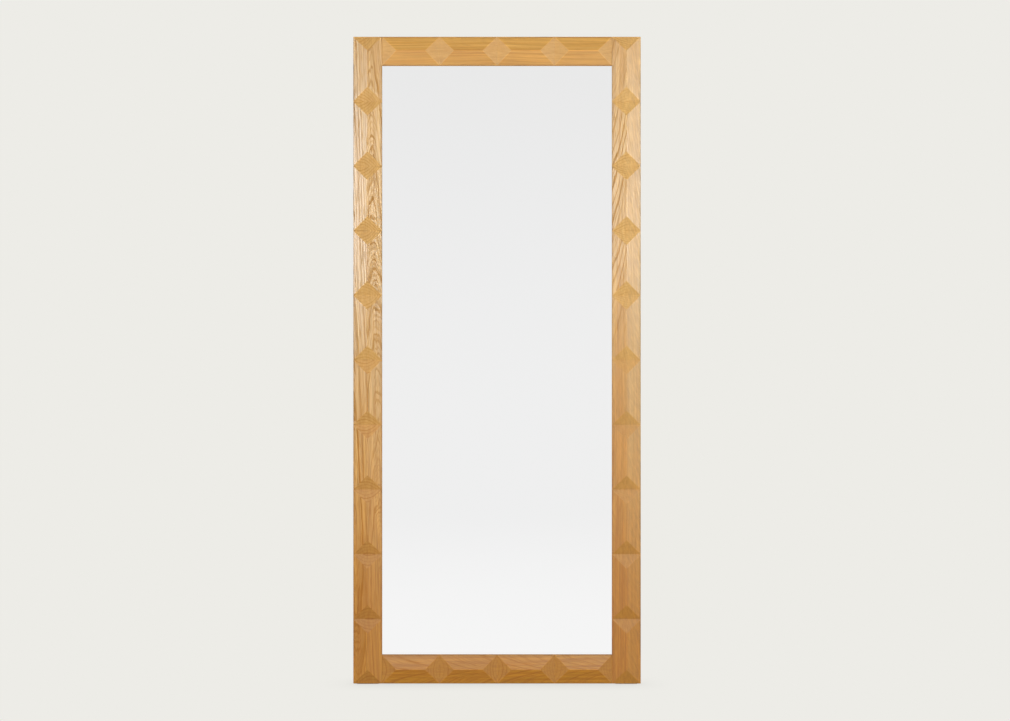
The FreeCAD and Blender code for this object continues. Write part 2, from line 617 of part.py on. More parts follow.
def make_bumper(name, side):
    """Rubber disc with a rounded rim and a recess for its screw."""
    body = new_body(name)
    rim = "(Sizes.bumper_diameter / 2)"
    hole = f"{PILOT_DIAMETER} / 2"
    section = sketch_on(body, name + "_section", "XY_Plane")
    outline(section, [
        (hole, "0"),
        (rim, "0"),
        (rim, "Sizes.bumper_thickness - Sizes.bumper_round"),
        (f"{rim} - Sizes.bumper_round", "Sizes.bumper_thickness", "Sizes.bumper_round", 1),
        ("Sizes.bumper_bore / 2", "Sizes.bumper_thickness"),
        ("Sizes.bumper_bore / 2", "Sizes.bumper_floor"),
        (hole, "Sizes.bumper_floor"),
    ])
    turned(body, section, "Y_Axis")
    place(body, f"{side} * {BAND_X}", BACK_Y, f"{TOP_Z} - Sizes.bumper_drop")


def make_foot_pad(name, side):
    """Felt pad with rounded corners under an upright."""
    body = new_body(name)
    half = "(Sizes.pad_length / 2)"
    depth = "Sizes.pad_depth"
    corner = "Sizes.pad_corner"
    shape = sketch_on(body, name + "_outline", "XY_Plane")
    outline(shape, [
        (f"{half} - {corner}", "0"),
        (half, corner, corner, 1),
        (half, f"{depth} - {corner}"),
        (f"{half} - {corner}", depth, corner, 1),
        (f"{corner} - {half}", depth),
        (f"-{half}", f"{depth} - {corner}", corner, 1),
        (f"-{half}", corner),
        (f"{corner} - {half}", "0", corner, 1),
    ])
    pad(body, shape, "Sizes.pad_thickness")
    place(body, f"{side} * ({OUTER_X} - Sizes.stile_width / 2)", f"{BACK_Y} - Sizes.pad_inset - {depth}", "0")


# Assembly

SIDES = (("left", -1), ("right", 1))
for side_name, side in SIDES:
    make_stile(f"{side_name}_stile", side)
for rail_name, rail_side in (("bottom", -1), ("top", 1)):
    make_rail(f"{rail_name}_rail", rail_side)
    for side_name, side in SIDES:
        make_dowels(f"{rail_name}_{side_name}_dowels", side, rail_side)
make_glazing()
make_back_panel()
make_panel_screws()
for side_name, side in SIDES:
    band_x = f"{side} * {BAND_X}"
    make_hanger_plate(f"{side_name}_hanger_plate", side)
    make_hanger_ring(f"{side_name}_hanger_ring", side)
    make_round_screws(f"{side_name}_hanger_screws", 2, band_x, f"{BACK_Y} + Sizes.hanger_sheet",
                      f"{HANGER_Z} - Sizes.hanger_first_screw - Sizes.hanger_screw_pitch")
    make_bumper(f"{side_name}_wall_bumper", side)
    make_round_screws(f"{side_name}_bumper_screw", 1, band_x, f"{BACK_Y} + Sizes.bumper_floor",
                      f"{TOP_Z} - Sizes.bumper_drop")
    make_foot_pad(f"{side_name}_foot_pad", side)
doc.recompute()

for item in doc.Objects:
    if "Invalid" in item.State or "Error" in item.State:
        raise RuntimeError(f"{item.Label} failed: {item.State}")
for node in nodes:
    if node.Shape.isNull() or not node.Shape.isValid():
        raise RuntimeError(f"{node.Label} has no valid shape")

os.makedirs("parts", exist_ok=True)
for node in nodes:
    node.Shape.exportStep(f"parts/{node.Label}.step")
    box = node.Shape.BoundBox
    print(f"{node.Label}: {len(node.Shape.Solids)} solids, {node.Shape.Volume:.1f} mm3,"
          f" x {box.XMin:.2f}..{box.XMax:.2f}, y {box.YMin:.2f}..{box.YMax:.2f},"
          f" z {box.ZMin:.2f}..{box.ZMax:.2f}")
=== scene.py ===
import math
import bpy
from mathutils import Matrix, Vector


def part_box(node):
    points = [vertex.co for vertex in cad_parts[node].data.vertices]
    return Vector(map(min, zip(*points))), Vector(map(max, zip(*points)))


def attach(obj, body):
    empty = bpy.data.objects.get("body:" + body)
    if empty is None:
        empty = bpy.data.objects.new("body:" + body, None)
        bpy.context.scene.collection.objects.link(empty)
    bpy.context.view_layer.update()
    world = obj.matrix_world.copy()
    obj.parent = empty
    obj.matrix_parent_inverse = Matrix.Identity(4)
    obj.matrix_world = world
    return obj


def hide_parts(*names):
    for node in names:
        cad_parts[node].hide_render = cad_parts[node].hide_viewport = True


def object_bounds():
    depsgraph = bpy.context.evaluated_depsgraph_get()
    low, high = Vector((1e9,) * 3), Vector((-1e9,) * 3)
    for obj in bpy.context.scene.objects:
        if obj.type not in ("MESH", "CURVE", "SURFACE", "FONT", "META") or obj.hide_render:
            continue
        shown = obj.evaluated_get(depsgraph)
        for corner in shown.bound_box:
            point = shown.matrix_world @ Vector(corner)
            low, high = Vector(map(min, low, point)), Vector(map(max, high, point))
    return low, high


bl_info = {
    "name": "Floor Mirror with a Carved Oak Frame",
    "version": (1, 0, 0),
    "blender": (4, 5, 0),
    "location": "3D View > Sidebar > Floor Mirror",
    "description": "Dresses a floor mirror: carved oak frame, silvered pane, back and hanging hardware",
    "category": "Object",
}

from typing import NamedTuple

import bmesh
import bpy
from mathutils import Vector

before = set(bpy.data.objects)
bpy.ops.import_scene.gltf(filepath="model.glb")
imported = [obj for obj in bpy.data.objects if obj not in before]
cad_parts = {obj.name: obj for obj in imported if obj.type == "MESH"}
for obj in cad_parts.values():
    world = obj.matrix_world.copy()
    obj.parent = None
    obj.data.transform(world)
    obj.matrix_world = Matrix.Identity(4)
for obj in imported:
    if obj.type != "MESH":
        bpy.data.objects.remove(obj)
CAD_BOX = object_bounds()

FRAME_BODY = "frame"
MILLIMETRE = 0.001
PHOTO_WIDTH = 1010

STILES = ("left_stile", "right_stile")
RAILS = ("bottom_rail", "top_rail")
CUSHIONS = ("left_cushion", "right_cushion", "bottom_cushion", "top_cushion")
FOOT_PADS = ("left_foot_pad", "right_foot_pad")
DOWELS = ("bottom_left_dowels", "bottom_right_dowels", "top_left_dowels", "top_right_dowels")

# Shapes: the least fold that is an edge, how far a rebate's cutter stands out behind, the facing
# of the pane's flat faces, and the rounding of soft edges
SHARP_EDGE = math.radians(5.0)
REBATE_OVERRUN = 0.005
FLAT_FACE = 0.99
SOFT_SEGMENTS = 3
FOAM_ROUND_SHARE = 0.6

# Finishes of the pane, in the order in which it takes them
SILVERED, GROUND, PAINTED = range(3)

# Second colours of the plainer finishes
BEECH_DEEP = (0.56, 0.33, 0.17)
BEECH_PALE = (0.68, 0.45, 0.26)
BEECH_FLECK = (0.40, 0.20, 0.09)
EDGE_FROST = (0.42, 0.60, 0.54)
PAINT_CURTAIN = (0.30, 0.32, 0.34)
FIBRE_SHIVE = (0.16, 0.08, 0.035)
RUBBER_BLOOM = (0.075, 0.073, 0.070)
FELT_FLUFF = (0.48, 0.415, 0.320)
FOAM_HOLLOW = (0.46, 0.46, 0.445)
PLASTIC_FLOW = (0.065, 0.065, 0.070)
FLOOR_BOUNCE = (0.42, 0.415, 0.395)

# Zinc: crystals to a millimetre on screws and plates, and the brightness of dull screws
SCREW_SPANGLE = 0.5
PLATE_SPANGLE = 0.22
DULL_SCREW = 0.5

# Oak: how far the rings wander, in waves to a millimetre and in millimetres
MIDDLE = 0.5
STRAY_WAVES = 0.0021
STRAY_WIDTH = 22.0
SWAY_WAVES = 0.0045
SWAY_WIDTH = 2.0
RIPPLE_WIDTH = 1.3
CRINKLE_WIDTH = 0.25
TURN_ROUND = 90.0

# Oak: how the lines of a ring set are drawn
RING_FADE = 0.25
YEAR_CHANCE = (0.25, 0.80)
ARCH_SHARE = 0.95
FINE_SHARE = 0.65

# Oak: facings of hips, the front, its rim and the edges, and the slant of rings where arches crown
HIP_TILT = (0.06, 0.2)
FRONT_FACE = (-0.6, -0.9)
RIM_FACE = (-0.3, -0.6)
EDGE_FACE = (-0.9, -0.6)
CROWN_SLANT = (0.11, 0.03)

# Oak: where kinds of wood lie, from the heart for rift wood or else from the board's middle, in millimetres
RIFT_SIDE = (15.0, 45.0)
QUARTER_SIDE = (-5.0, 10.0)
HEART_SIDE = (10.0, -5.0)
STRAIGHT_SIDE = (4.0, -6.0)

# Oak: heights between which a kind of wood or a painted shade comes in, in millimetres
CALM_HEIGHT = (800.0, 1200.0)
PLAIN_HEIGHT = (1250.0, 800.0)
HEARTWOOD_HEIGHT = (1500.0, 1000.0)
UPPER_HIP_SHADE_START = (430.0, 640.0)
UPPER_HIP_SHADE_END = (1120.0, 900.0)
UPPER_HIP_SHADE_SHARE = 0.75
PAINTED_SHADE_HEIGHT = (1100.0, 120.0)
HEART_DROP_HEIGHT = (420.0, 680.0)
HEART_DROP = 150.0
HEAD_HEIGHT = (1600.0, 1760.0)
HEAD_PAINTED_SHADE = 0.14

# Oak: how much fainter ring lines are on hips, and there high up, above the painted shade
HIP_FADE = 0.1
HIGH_HIP_FADE = 0.35

# Oak: rays, in waves to a millimetre
RAY_ACROSS = 0.16
RAY_LEAN = 0.02
RAY_ALONG = 0.06
RAY_SKEW = 0.10

# Oak: short dashes, pores and streaks, and how strongly they colour the wood
DASH_SPOT = (0.38, 0.10)
DASH_SHARE = 0.5
PORE_SPOT = (0.30, 0.05)
PORE_SHARE = 0.45
STREAK_SPAN = (0.32, 0.68)

# Oak: the painted shade along the rim and the painted highlight along ridges and hips, in millimetres
RIM_WIDTH = (7.0, 0.0)
JOINT_FADE = 4.0
HIGHLIGHT_WIDTH = (2.4, 0.6)
RIDGE_FADE = 1.0
HIGHLIGHT_STILE = 0.06
HIGHLIGHT_RAIL = 0.13

# Oak: how light the wood is, and the painted shade on slopes high up and on hips low down
TONE_GROUND = 0.58
TONE_FIBRE = 0.72
TONE_CLOUD = 0.16
TONE_FLECK = 0.35
TONE_QUARTER = 0.40
HIGH_SLOPE_SHADE = 0.16
LOW_HIP_SHADE = 0.03

# Oak: how much rougher the lacquer is on each kind of wood, and how far it sinks in
ROUGH_STILE_HIP = 0.28
ROUGH_RAIL_HIP = 0.23
ROUGH_SPRING = 0.45
ROUGH_DASH = 0.25
ROUGH_FIBRE = 0.08
ROUGH_EDGE = 0.5
ROUGH_QUARTER = 0.09
ROUGH_PLAIN = 0.10
ROUGH_HEART = 0.07
ROUGH_SHADED_ZONE = 0.07
ROUGH_STRAIGHT = 0.25
SPRING_SINK = 0.5
PORE_SINK = 0.5
FIBRE_RISE = 0.15
LACQUER_SHINE = 0.25

# Stage: the floor, in metres, and the quality of its contact shadow
FLOOR_RADIUS = 30.0
FLOOR_SIDES = 64
FLOOR_NEAR = (6.0, 0.3)
SHADOW_SAMPLES = 16

# Stage: the room that the pane shows, and the glow that lights the frame, by direction
ROOM_CLIMB = (-0.04, 0.26)
REAR_SPAN = (0.05, 0.5)
REAR_CLIMB = (-0.1, 0.55)
REAR_LOW = 0.30
REAR_RISE = 0.66
GLOW_CLIMB = (-0.2, 0.9)
GLOW_REAR_SPAN = (-0.1, 0.6)
GLOW_GROUND = 0.10
GLOW_ABOVE = 0.15
GLOW_REAR = 1.06


class SoftLamp(NamedTuple):
    """Where a soft lamp stands on the right, what it points at and how large its face is, in metres."""

    place: tuple
    aim: tuple
    width: float
    height: float


WASH_LAMP = SoftLamp(place=(1.5, -2.5, 1.12), aim=(0.0, 0.0, 1.0), width=1.2, height=1.4)
SHEEN_LAMP = SoftLamp(place=(1.86, -2.95, 1.66), aim=(0.0, 0.0, 1.2), width=1.1, height=0.9)
TOP_LAMP = SoftLamp(place=(0.0, -0.9, 2.9), aim=(0.0, 0.0, 1.75), width=0.9, height=0.4)


class RingSet(NamedTuple):
    """Lines of growth rings: their spacing in the board's rings, the clear share of each, the faintest."""

    spacing: float
    clear: float
    faintest: float


BOLD_RINGS = RingSet(spacing=1.0, clear=0.64, faintest=0.40)
FINE_RINGS = RingSet(spacing=0.37, clear=0.55, faintest=0.0)
ARCH_RINGS = RingSet(spacing=0.16, clear=0.50, faintest=0.45)


class Board(NamedTuple):
    """How one oak board was sawn from its log, in millimetres along the finished frame.

    The heart lies at heart_across and heart_behind, and leans by lean to a millimetre. A year's growth is
    one ring thick, and the log narrows by taper to a millimetre away from the turn. plain_foot is how plain
    the wood is low down, fleck how far it is quartered, and seed sets its chance figure.
    """

    along: str
    heart_across: float
    heart_behind: float
    lean: float
    ring: float
    taper: float
    turn: float
    tint: tuple
    cross_tint: tuple
    plain_foot: float
    fleck: float
    seed: float


BOARDS = {
    "left_stile": Board(
        along="z", heart_across=-348.0, heart_behind=133.75, lean=-0.025,
        ring=2.2, taper=0.0105, turn=300.0,
        tint=(0.94, 0.94, 0.94), cross_tint=(0.885, 0.855, 0.835),
        plain_foot=0.20, fleck=0.15, seed=11.3,
    ),
    "right_stile": Board(
        along="z", heart_across=384.0, heart_behind=384.0, lean=0.0,
        ring=1.7, taper=0.035, turn=1900.0,
        tint=(0.95, 0.94, 0.97), cross_tint=(0.94, 0.94, 0.95),
        plain_foot=0.85, fleck=1.0, seed=47.9,
    ),
    "bottom_rail": Board(
        along="x", heart_across=42.0, heart_behind=190.0, lean=0.010,
        ring=2.2, taper=0.045, turn=520.0,
        tint=(0.90, 0.885, 0.67), cross_tint=(0.97, 0.965, 0.955),
        plain_foot=0.20, fleck=0.3, seed=23.1,
    ),
    "top_rail": Board(
        along="x", heart_across=1764.0, heart_behind=260.0, lean=0.004,
        ring=1.7, taper=0.006, turn=60.0,
        tint=(1.06, 0.945, 0.64), cross_tint=(0.78, 0.77, 0.745),
        plain_foot=0.9, fleck=0.3, seed=71.7,
    ),
}


class Wire:
    """A node socket that takes part in Python arithmetic; each operator adds a Math node."""

    def __init__(self, nodes, socket):
        self.nodes = nodes
        self.socket = socket

    def _maths(self, operation, *values):
        return self.nodes.node("ShaderNodeMath", {"operation": operation}, dict(enumerate(values)))

    def __add__(self, other):
        return self._maths("ADD", self, other)

    __radd__ = __add__

    def __sub__(self, other):
        return self._maths("SUBTRACT", self, other)

    def __rsub__(self, other):
        return self._maths("SUBTRACT", other, self)

    def __mul__(self, other):
        return self._maths("MULTIPLY", self, other)

    __rmul__ = __mul__

    def __truediv__(self, other):
        return self._maths("DIVIDE", self, other)

    def __pow__(self, other):
        return self._maths("POWER", self, other)

    def __abs__(self):
        return self._maths("ABSOLUTE", self)

    def __floor__(self):
        return self._maths("FLOOR", self)

    def least(self, other):
        return self._maths("MINIMUM", self, other)

    def ramp(self, low, high):
        """0 below low, 1 above high and a smooth rise between; low may be the larger."""
        settings = {"interpolation_type": "SMOOTHSTEP"}
        return self.nodes.node("ShaderNodeMapRange", settings, {0: self, 1: low, 2: high})


class Nodes:
    """A node tree that is filled by node() and by arithmetic on its wires."""

    def __init__(self, tree):
        self.tree = tree
        self.tree.nodes.clear()

    def node(self, kind, settings=None, inputs=None, output=0):
        """Add a node, set its settings, then fill its sockets and give one of its outputs."""
        node = self.tree.nodes.new(kind)
        for name, value in (settings or {}).items():
            setattr(node, name, value)
        for key, value in (inputs or {}).items():
            socket = self._find(node.inputs, key)
            if isinstance(value, Wire):
                self.tree.links.new(value.socket, socket)
            else:
                socket.default_value = value
        return Wire(self, self._find(node.outputs, output)) if len(node.outputs) else None

    @staticmethod
    def _find(sockets, key):
        if isinstance(key, int):
            return sockets[key]
        return next(socket for socket in sockets if socket.enabled and socket.name == key)

    def place(self):
        """The object's own x, y and z in millimetres."""
        point = self.node("ShaderNodeTexCoord", output="Object")
        return [self.node("ShaderNodeSeparateXYZ", None, {0: point}, axis) / MILLIMETRE for axis in "XYZ"]

    def facing(self, axis):
        """How far the surface faces along one of the object's axes, from -1 to 1."""
        normal = self.node("ShaderNodeTexCoord", output="Normal")
        return self.node("ShaderNodeSeparateXYZ", None, {0: normal}, axis.upper())

    def vector(self, x, y, z):
        return self.node("ShaderNodeCombineXYZ", None, {0: x, 1: y, 2: z})

    def noise(self, x, y, z, detail, roughness=0.5):
        inputs = {"Vector": self.vector(x, y, z), "Scale": 1.0, "Detail": detail, "Roughness": roughness}
        return self.node("ShaderNodeTexNoise", None, inputs)

    def cells(self, x, y, z):
        """Distance to the nearest of a scatter of points about one unit apart."""
        inputs = {"Vector": self.vector(x, y, z), "Scale": 1.0}
        return self.node("ShaderNodeTexVoronoi", None, inputs, "Distance")

    def chance(self, value):
        """A fixed random number from 0 to 1 for each whole value."""
        return self.node("ShaderNodeTexWhiteNoise", {"noise_dimensions": "1D"}, {"W": value})

    def mix(self, share, *colours, blend="MIX"):
        """Mix two colours, each of them a wire or three numbers."""
        first, second = (each if isinstance(each, Wire) else (*each, 1.0) for each in colours)
        settings = {"data_type": "RGBA", "blend_type": blend}
        return self.node("ShaderNodeMix", settings, {"Factor": share, "A": first, "B": second}, "Result")

    def grey(self, level):
        return self.node("ShaderNodeCombineColor", None, {0: level, 1: level, 2: level})

    def dimmed(self, colour, level):
        """A colour times a number that varies."""
        return self.mix(1.0, colour, self.grey(level), blend="MULTIPLY")

    def tinted(self, colour, tint, share=1.0):
        """A colour that takes on a tint where the share is 1."""
        return self.mix(share, colour, self.mix(1.0, colour, tint, blend="MULTIPLY"))

    def relief(self, height, depth):
        """A Bump node's normal for a height from 0 to 1, depth in metres."""
        return self.node("ShaderNodeBump", None, {"Strength": 1.0, "Distance": depth, "Height": height})

    def by_ray(self, lighting, mirrored, seen):
        """One colour that lights the frame, one that the pane shows and one that the camera sees."""
        camera_ray = self.node("ShaderNodeLightPath", output="Is Camera Ray")
        mirror_ray = self.node("ShaderNodeLightPath", output="Is Glossy Ray")
        return self.mix(camera_ray, self.mix(mirror_ray, lighting, mirrored), seen)


class Finish(Nodes):
    """A material under construction."""

    def __init__(self, name):
        self.material = bpy.data.materials.new(name)
        self.material.use_nodes = True
        super().__init__(self.material.node_tree)
        self.x, self.y, self.z = self.place()

    def scaled(self, scale):
        return [axis * share for axis, share in zip((self.x, self.y, self.z), scale)]

    def grain(self, scale, detail, roughness=0.5):
        """Noise with this many waves to a millimetre along x, y and z."""
        return self.noise(*self.scaled(scale), detail, roughness)

    def spots(self, scale):
        """Distance to the nearest of a scatter of points, so many to a millimetre along x, y and z."""
        return self.cells(*self.scaled(scale))

    def surface(self, **sockets):
        """Close the tree with a Principled shader; socket names are written with underscores."""
        inputs = {name.replace("_", " "): value for name, value in sockets.items()}
        shader = self.node("ShaderNodeBsdfPrincipled", None, inputs)
        self.node("ShaderNodeOutputMaterial", None, {"Surface": shader})
        return self.material


def even(scale):
    """The same scale along x, y and z."""
    return (scale, scale, scale)


def between(low, high, share):
    return low + (high - low) * share


def faded(mask, by):
    """A factor of 1 that falls by a part where the mask is 1."""
    return 1.0 - by * mask


def member_spans(name):
    """Where a member starts and ends along its length, and where its near and far edges lie."""
    low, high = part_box(name)
    if name in STILES:
        return low.z, high.z, low.x, high.x
    return low.x, high.x, low.z, high.z


class OakFigure:
    """The grain of one carved board: where each point lay in the log, and which wood shows there."""

    def __init__(self, name, settings):
        self.settings = settings
        self.board = BOARDS[name]
        self.finish = Finish(f"oak_{name}")
        self.upright = self.board.along == "z"
        self.height = self.finish.z
        self.measure(name)
        self.place_in_log()
        self.sort_wood()

    def measure(self, name):
        """Find where a point lies on the carved board."""
        finish = self.finish
        self.along, self.across = (finish.z, finish.x) if self.upright else (finish.x, finish.z)
        self.start, self.end, near, far = (place / MILLIMETRE for place in member_spans(name))
        self.half_width = (far - near) / 2
        self.from_middle = self.across - (near + far) / 2
        self.front = finish.facing("y")
        self.cross_cut = abs(finish.facing(self.board.along)).ramp(*HIP_TILT)
        self.slope = 1.0 - self.cross_cut

    def place_in_log(self):
        """Find how far a point lies from the heart of the log, and in which year it grew."""
        board = self.board
        stray = self.finish.noise(self.along * STRAY_WAVES + board.seed, board.seed, 0.0, detail=1.0)
        sway = self.finish.noise(self.along * SWAY_WAVES + board.seed, 0.0, board.seed, detail=1.0)
        heart = board.heart_across + self.along * board.lean + (stray - MIDDLE) * STRAY_WIDTH
        self.side = self.across - heart
        self.deep = self.finish.y - board.heart_behind
        self.reach = (self.side * self.side + self.deep * self.deep) ** 0.5
        ripple = self.noise(across=0.06, along=0.012, detail=2.0)
        crinkle = self.noise(across=0.25, along=0.045, detail=1.0)
        from_turn = self.along - board.turn
        rise = (from_turn * from_turn + TURN_ROUND * TURN_ROUND) ** 0.5
        wander = (sway - MIDDLE) * SWAY_WIDTH + (ripple - MIDDLE) * RIPPLE_WIDTH
        self.growth = self.reach + rise * board.taper + wander + (crinkle - MIDDLE) * CRINKLE_WIDTH

    def sort_wood(self):
        """Find which kinds of wood show at a point, and where shade is painted; each is a mask from 0 to 1.
        """
        board = self.board
        z = self.height
        plain_side = board.plain_foot * self.from_middle.ramp(*HEART_SIDE)
        slant = self.side * self.front - self.deep * self.finish.facing("x" if self.upright else "z")
        self.crown = abs(slant / self.reach).ramp(*CROWN_SLANT) * self.slope
        self.rift = (1.0 - board.fleck) * abs(self.side).ramp(*RIFT_SIDE)
        self.quarter = board.fleck * self.from_middle.ramp(*QUARTER_SIDE)
        if self.upright:
            self.straight = (1.0 - board.fleck) * self.from_middle.ramp(*STRAIGHT_SIDE)
            self.calm = self.straight * z.ramp(*CALM_HEIGHT) * self.slope
            self.plain = board.plain_foot * z.ramp(*PLAIN_HEIGHT)
            self.plain_heart = plain_side * z.ramp(*PLAIN_HEIGHT)
            # Painted shade: darker low down, starting lower on the heart side, and a little at the head
            dropped = z - HEART_DROP * plain_side * z.ramp(*HEART_DROP_HEIGHT)
            self.painted_shade = dropped.ramp(*PAINTED_SHADE_HEIGHT) + HEAD_PAINTED_SHADE * z.ramp(*HEAD_HEIGHT)
            # Painted shade on up-facing hips at mid height, added to the heartwood mask
            upper_hip = self.finish.facing("z").ramp(*HIP_TILT) * self.front.ramp(*FRONT_FACE)
            upper_hip_shade = upper_hip * z.ramp(*UPPER_HIP_SHADE_START) * z.ramp(*UPPER_HIP_SHADE_END)
            self.heart = plain_side * z.ramp(*HEARTWOOD_HEIGHT) * self.slope + UPPER_HIP_SHADE_SHARE * upper_hip_shade
        else:
            self.straight = 0.0
            self.calm = 0.0
            self.plain = board.plain_foot
            self.plain_heart = 0.0
            # Painted shade: darker low down
            self.painted_shade = z.ramp(*PAINTED_SHADE_HEIGHT)
            self.heart = plain_side * self.slope
        self.high_up = (1.0 - self.painted_shade) * (1.0 - self.painted_shade)

    def noise(self, across, along, detail, roughness=0.5):
        """Noise that follows the grain, with so many waves to a millimetre across and along it."""
        onward = self.along * along + self.board.seed
        return self.finish.noise(self.side * across, self.deep * across, onward, detail, roughness)

    def spots(self, across, along):
        """Points that follow the grain, so many to a millimetre across and along it."""
        return self.finish.cells(self.side * across, self.deep * across, self.along * along)

    def steadied(self, noise, on_hips):
        """Noise that varies less on hips and in quartered wood."""
        return MIDDLE + (noise - MIDDLE) * faded(self.cross_cut, by=on_hips) * faded(self.quarter, by=0.5)

    def ring_lines(self, rings):
        """Dark lines that start sharply and fade outwards; each year has its own strength."""
        count = self.growth / (self.board.ring * rings.spacing) + self.board.seed
        year = math.floor(count)
        strength = self.finish.chance(year).ramp(*YEAR_CHANCE)
        line = (1.0 - (count - year)).ramp(rings.clear, rings.clear + RING_FADE)
        return line * between(rings.faintest, 1.0, strength)

    def vividness(self):
        """How strongly the ring lines show."""
        fleck = self.board.fleck
        vivid = (1.0 - self.plain) * faded(self.quarter, by=0.65) * faded(fleck, by=0.25)
        hip_fade = HIP_FADE + HIGH_HIP_FADE * self.high_up * faded(fleck, by=0.7)
        rift = self.rift * faded(self.high_up, by=0.8) if self.upright else self.rift
        return vivid * faded(self.cross_cut, by=hip_fade) * faded(rift, by=0.4) * faded(self.calm, by=0.5)

    def spring_wood(self):
        """The porous wood of each spring: bold lines, fine ones between, close ones where arches crown."""
        arches = ARCH_SHARE * self.ring_lines(ARCH_RINGS) * self.crown
        bold = self.ring_lines(BOLD_RINGS) * faded(self.crown, by=0.75) + arches
        fine = self.ring_lines(FINE_RINGS) * faded(self.cross_cut, by=0.8) * faded(self.crown, by=0.5)
        return (bold + FINE_SHARE * fine).least(1.0) * self.vividness()

    def fibre(self):
        return self.steadied(self.noise(across=0.28, along=0.006, detail=3.0, roughness=0.65), on_hips=0.6)

    def streak(self):
        return self.steadied(self.noise(across=0.20, along=0.0028, detail=2.0), on_hips=0.5)

    def rays(self):
        """Flecks of the rays, which lean across the grain."""
        across = self.side * RAY_ACROSS + self.along * RAY_LEAN
        onward = self.along * RAY_ALONG + self.side * RAY_SKEW
        return self.finish.noise(across, self.deep * RAY_ACROSS, onward, detail=3.0, roughness=0.6)

    def dashes(self):
        """Short dark dashes on the slopes, fewer in plain and quartered wood."""
        dash = self.spots(across=0.27, along=0.022).ramp(*DASH_SPOT) * self.slope
        return dash * faded(self.plain, by=0.6) * faded(self.quarter, by=0.7)

    def rim(self):
        """Painted shade along the rim of a member; on a stile it stops short of the joints."""
        rim = (self.half_width - abs(self.from_middle)).ramp(*RIM_WIDTH) * self.front.ramp(*RIM_FACE)
        if not self.upright:
            return rim
        foot_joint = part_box("bottom_rail")[1].z / MILLIMETRE
        head_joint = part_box("top_rail")[0].z / MILLIMETRE
        above_foot = self.height.ramp(foot_joint - JOINT_FADE, foot_joint)
        return rim * above_foot * self.height.ramp(head_joint + JOINT_FADE, head_joint)

    def arris_highlight(self):
        """Painted highlight: pale lines along ridges and hips."""
        blocks = self.settings.stile_blocks if self.upright else self.settings.rail_blocks
        pitch = (self.end - self.start) / blocks
        turns = (self.along - self.start) / pitch
        from_valley = abs(turns - math.floor(turns + 0.5)) * pitch
        from_ridge = abs(self.from_middle)
        between_hips = from_valley.ramp(self.half_width - RIDGE_FADE, self.half_width + RIDGE_FADE)
        ridge = from_ridge.ramp(*HIGHLIGHT_WIDTH) * between_hips
        hip_edge = abs(from_valley + from_ridge - self.half_width).ramp(*HIGHLIGHT_WIDTH)
        return (ridge + hip_edge).least(1.0) * self.front.ramp(*FRONT_FACE)

    def colour(self, spring, dash, pore):
        finish, settings = self.finish, self.settings
        summer = finish.mix(self.streak().ramp(*STREAK_SPAN), settings.honey, settings.pale)
        body = finish.tinted(summer, self.board.tint)
        body = finish.mix(spring, body, settings.spring_wood)
        body = finish.mix(dash * DASH_SHARE, body, settings.spring_wood)
        body = finish.mix(pore * PORE_SHARE, body, settings.pore)
        # Painted shade: a deeper, darker tint low down and at the head of the stiles
        body = finish.tinted(body, settings.painted_shade, self.painted_shade)
        body = finish.tinted(body, self.board.cross_tint, self.cross_cut)
        # Heartwood tint, and painted shade on up-facing hips at mid height
        return finish.tinted(body, settings.heart_and_shade_tint, self.heart)

    def tone(self, fibre):
        """How light the wood is, with painted shade and a painted highlight along ridges and hips."""
        cloud = self.noise(across=0.02, along=0.006, detail=2.0)
        rays = (TONE_FLECK * self.board.fleck + TONE_QUARTER * self.quarter) * (self.rays() - MIDDLE)
        tone = TONE_GROUND + TONE_FIBRE * fibre + TONE_CLOUD * cloud + rays
        # Painted shade on slopes high up and on hips low down
        shade = HIGH_SLOPE_SHADE * self.slope * self.high_up + LOW_HIP_SHADE * self.cross_cut * self.painted_shade
        tone = tone * (1.0 - shade) * faded(self.rim(), by=0.22)
        tone = tone * faded(self.calm, by=0.13) * faded(self.plain, by=0.08)
        # Painted highlight along ridges and hips
        return tone * (1.0 + (HIGHLIGHT_STILE if self.upright else HIGHLIGHT_RAIL) * self.arris_highlight())

    def lacquer(self, spring, dash, fibre):
        """How rough the lacquer is: it sinks into open wood, and edges were left unpolished."""
        on_slopes = (
            ROUGH_QUARTER * self.quarter
            + ROUGH_PLAIN * self.plain
            + ROUGH_HEART * self.plain_heart
            + ROUGH_SHADED_ZONE * self.painted_shade
            + ROUGH_STRAIGHT * self.straight * self.painted_shade
        )
        return (
            self.settings.roughness
            + (ROUGH_STILE_HIP if self.upright else ROUGH_RAIL_HIP) * self.cross_cut
            + ROUGH_SPRING * spring
            + ROUGH_DASH * dash
            + ROUGH_FIBRE * (fibre - MIDDLE)
            + ROUGH_EDGE * self.front.ramp(*EDGE_FACE)
            + on_slopes * self.slope
        )


def oak(name, settings):
    """Lacquered oak cut from its own log, so that rings run on from facet to facet."""
    figure = OakFigure(name, settings)
    finish = figure.finish
    spring = figure.spring_wood()
    fibre = figure.fibre()
    dash = figure.dashes()
    pore = figure.spots(across=1.9, along=0.11).ramp(*PORE_SPOT) * spring
    height = 1.0 - SPRING_SINK * spring - PORE_SINK * pore + FIBRE_RISE * fibre
    return finish.surface(
        Base_Color=finish.dimmed(figure.colour(spring, dash, pore), figure.tone(fibre)),
        Roughness=figure.lacquer(spring, dash, fibre),
        Specular_IOR_Level=LACQUER_SHINE,
        Normal=finish.relief(height, depth=0.00012),
    )


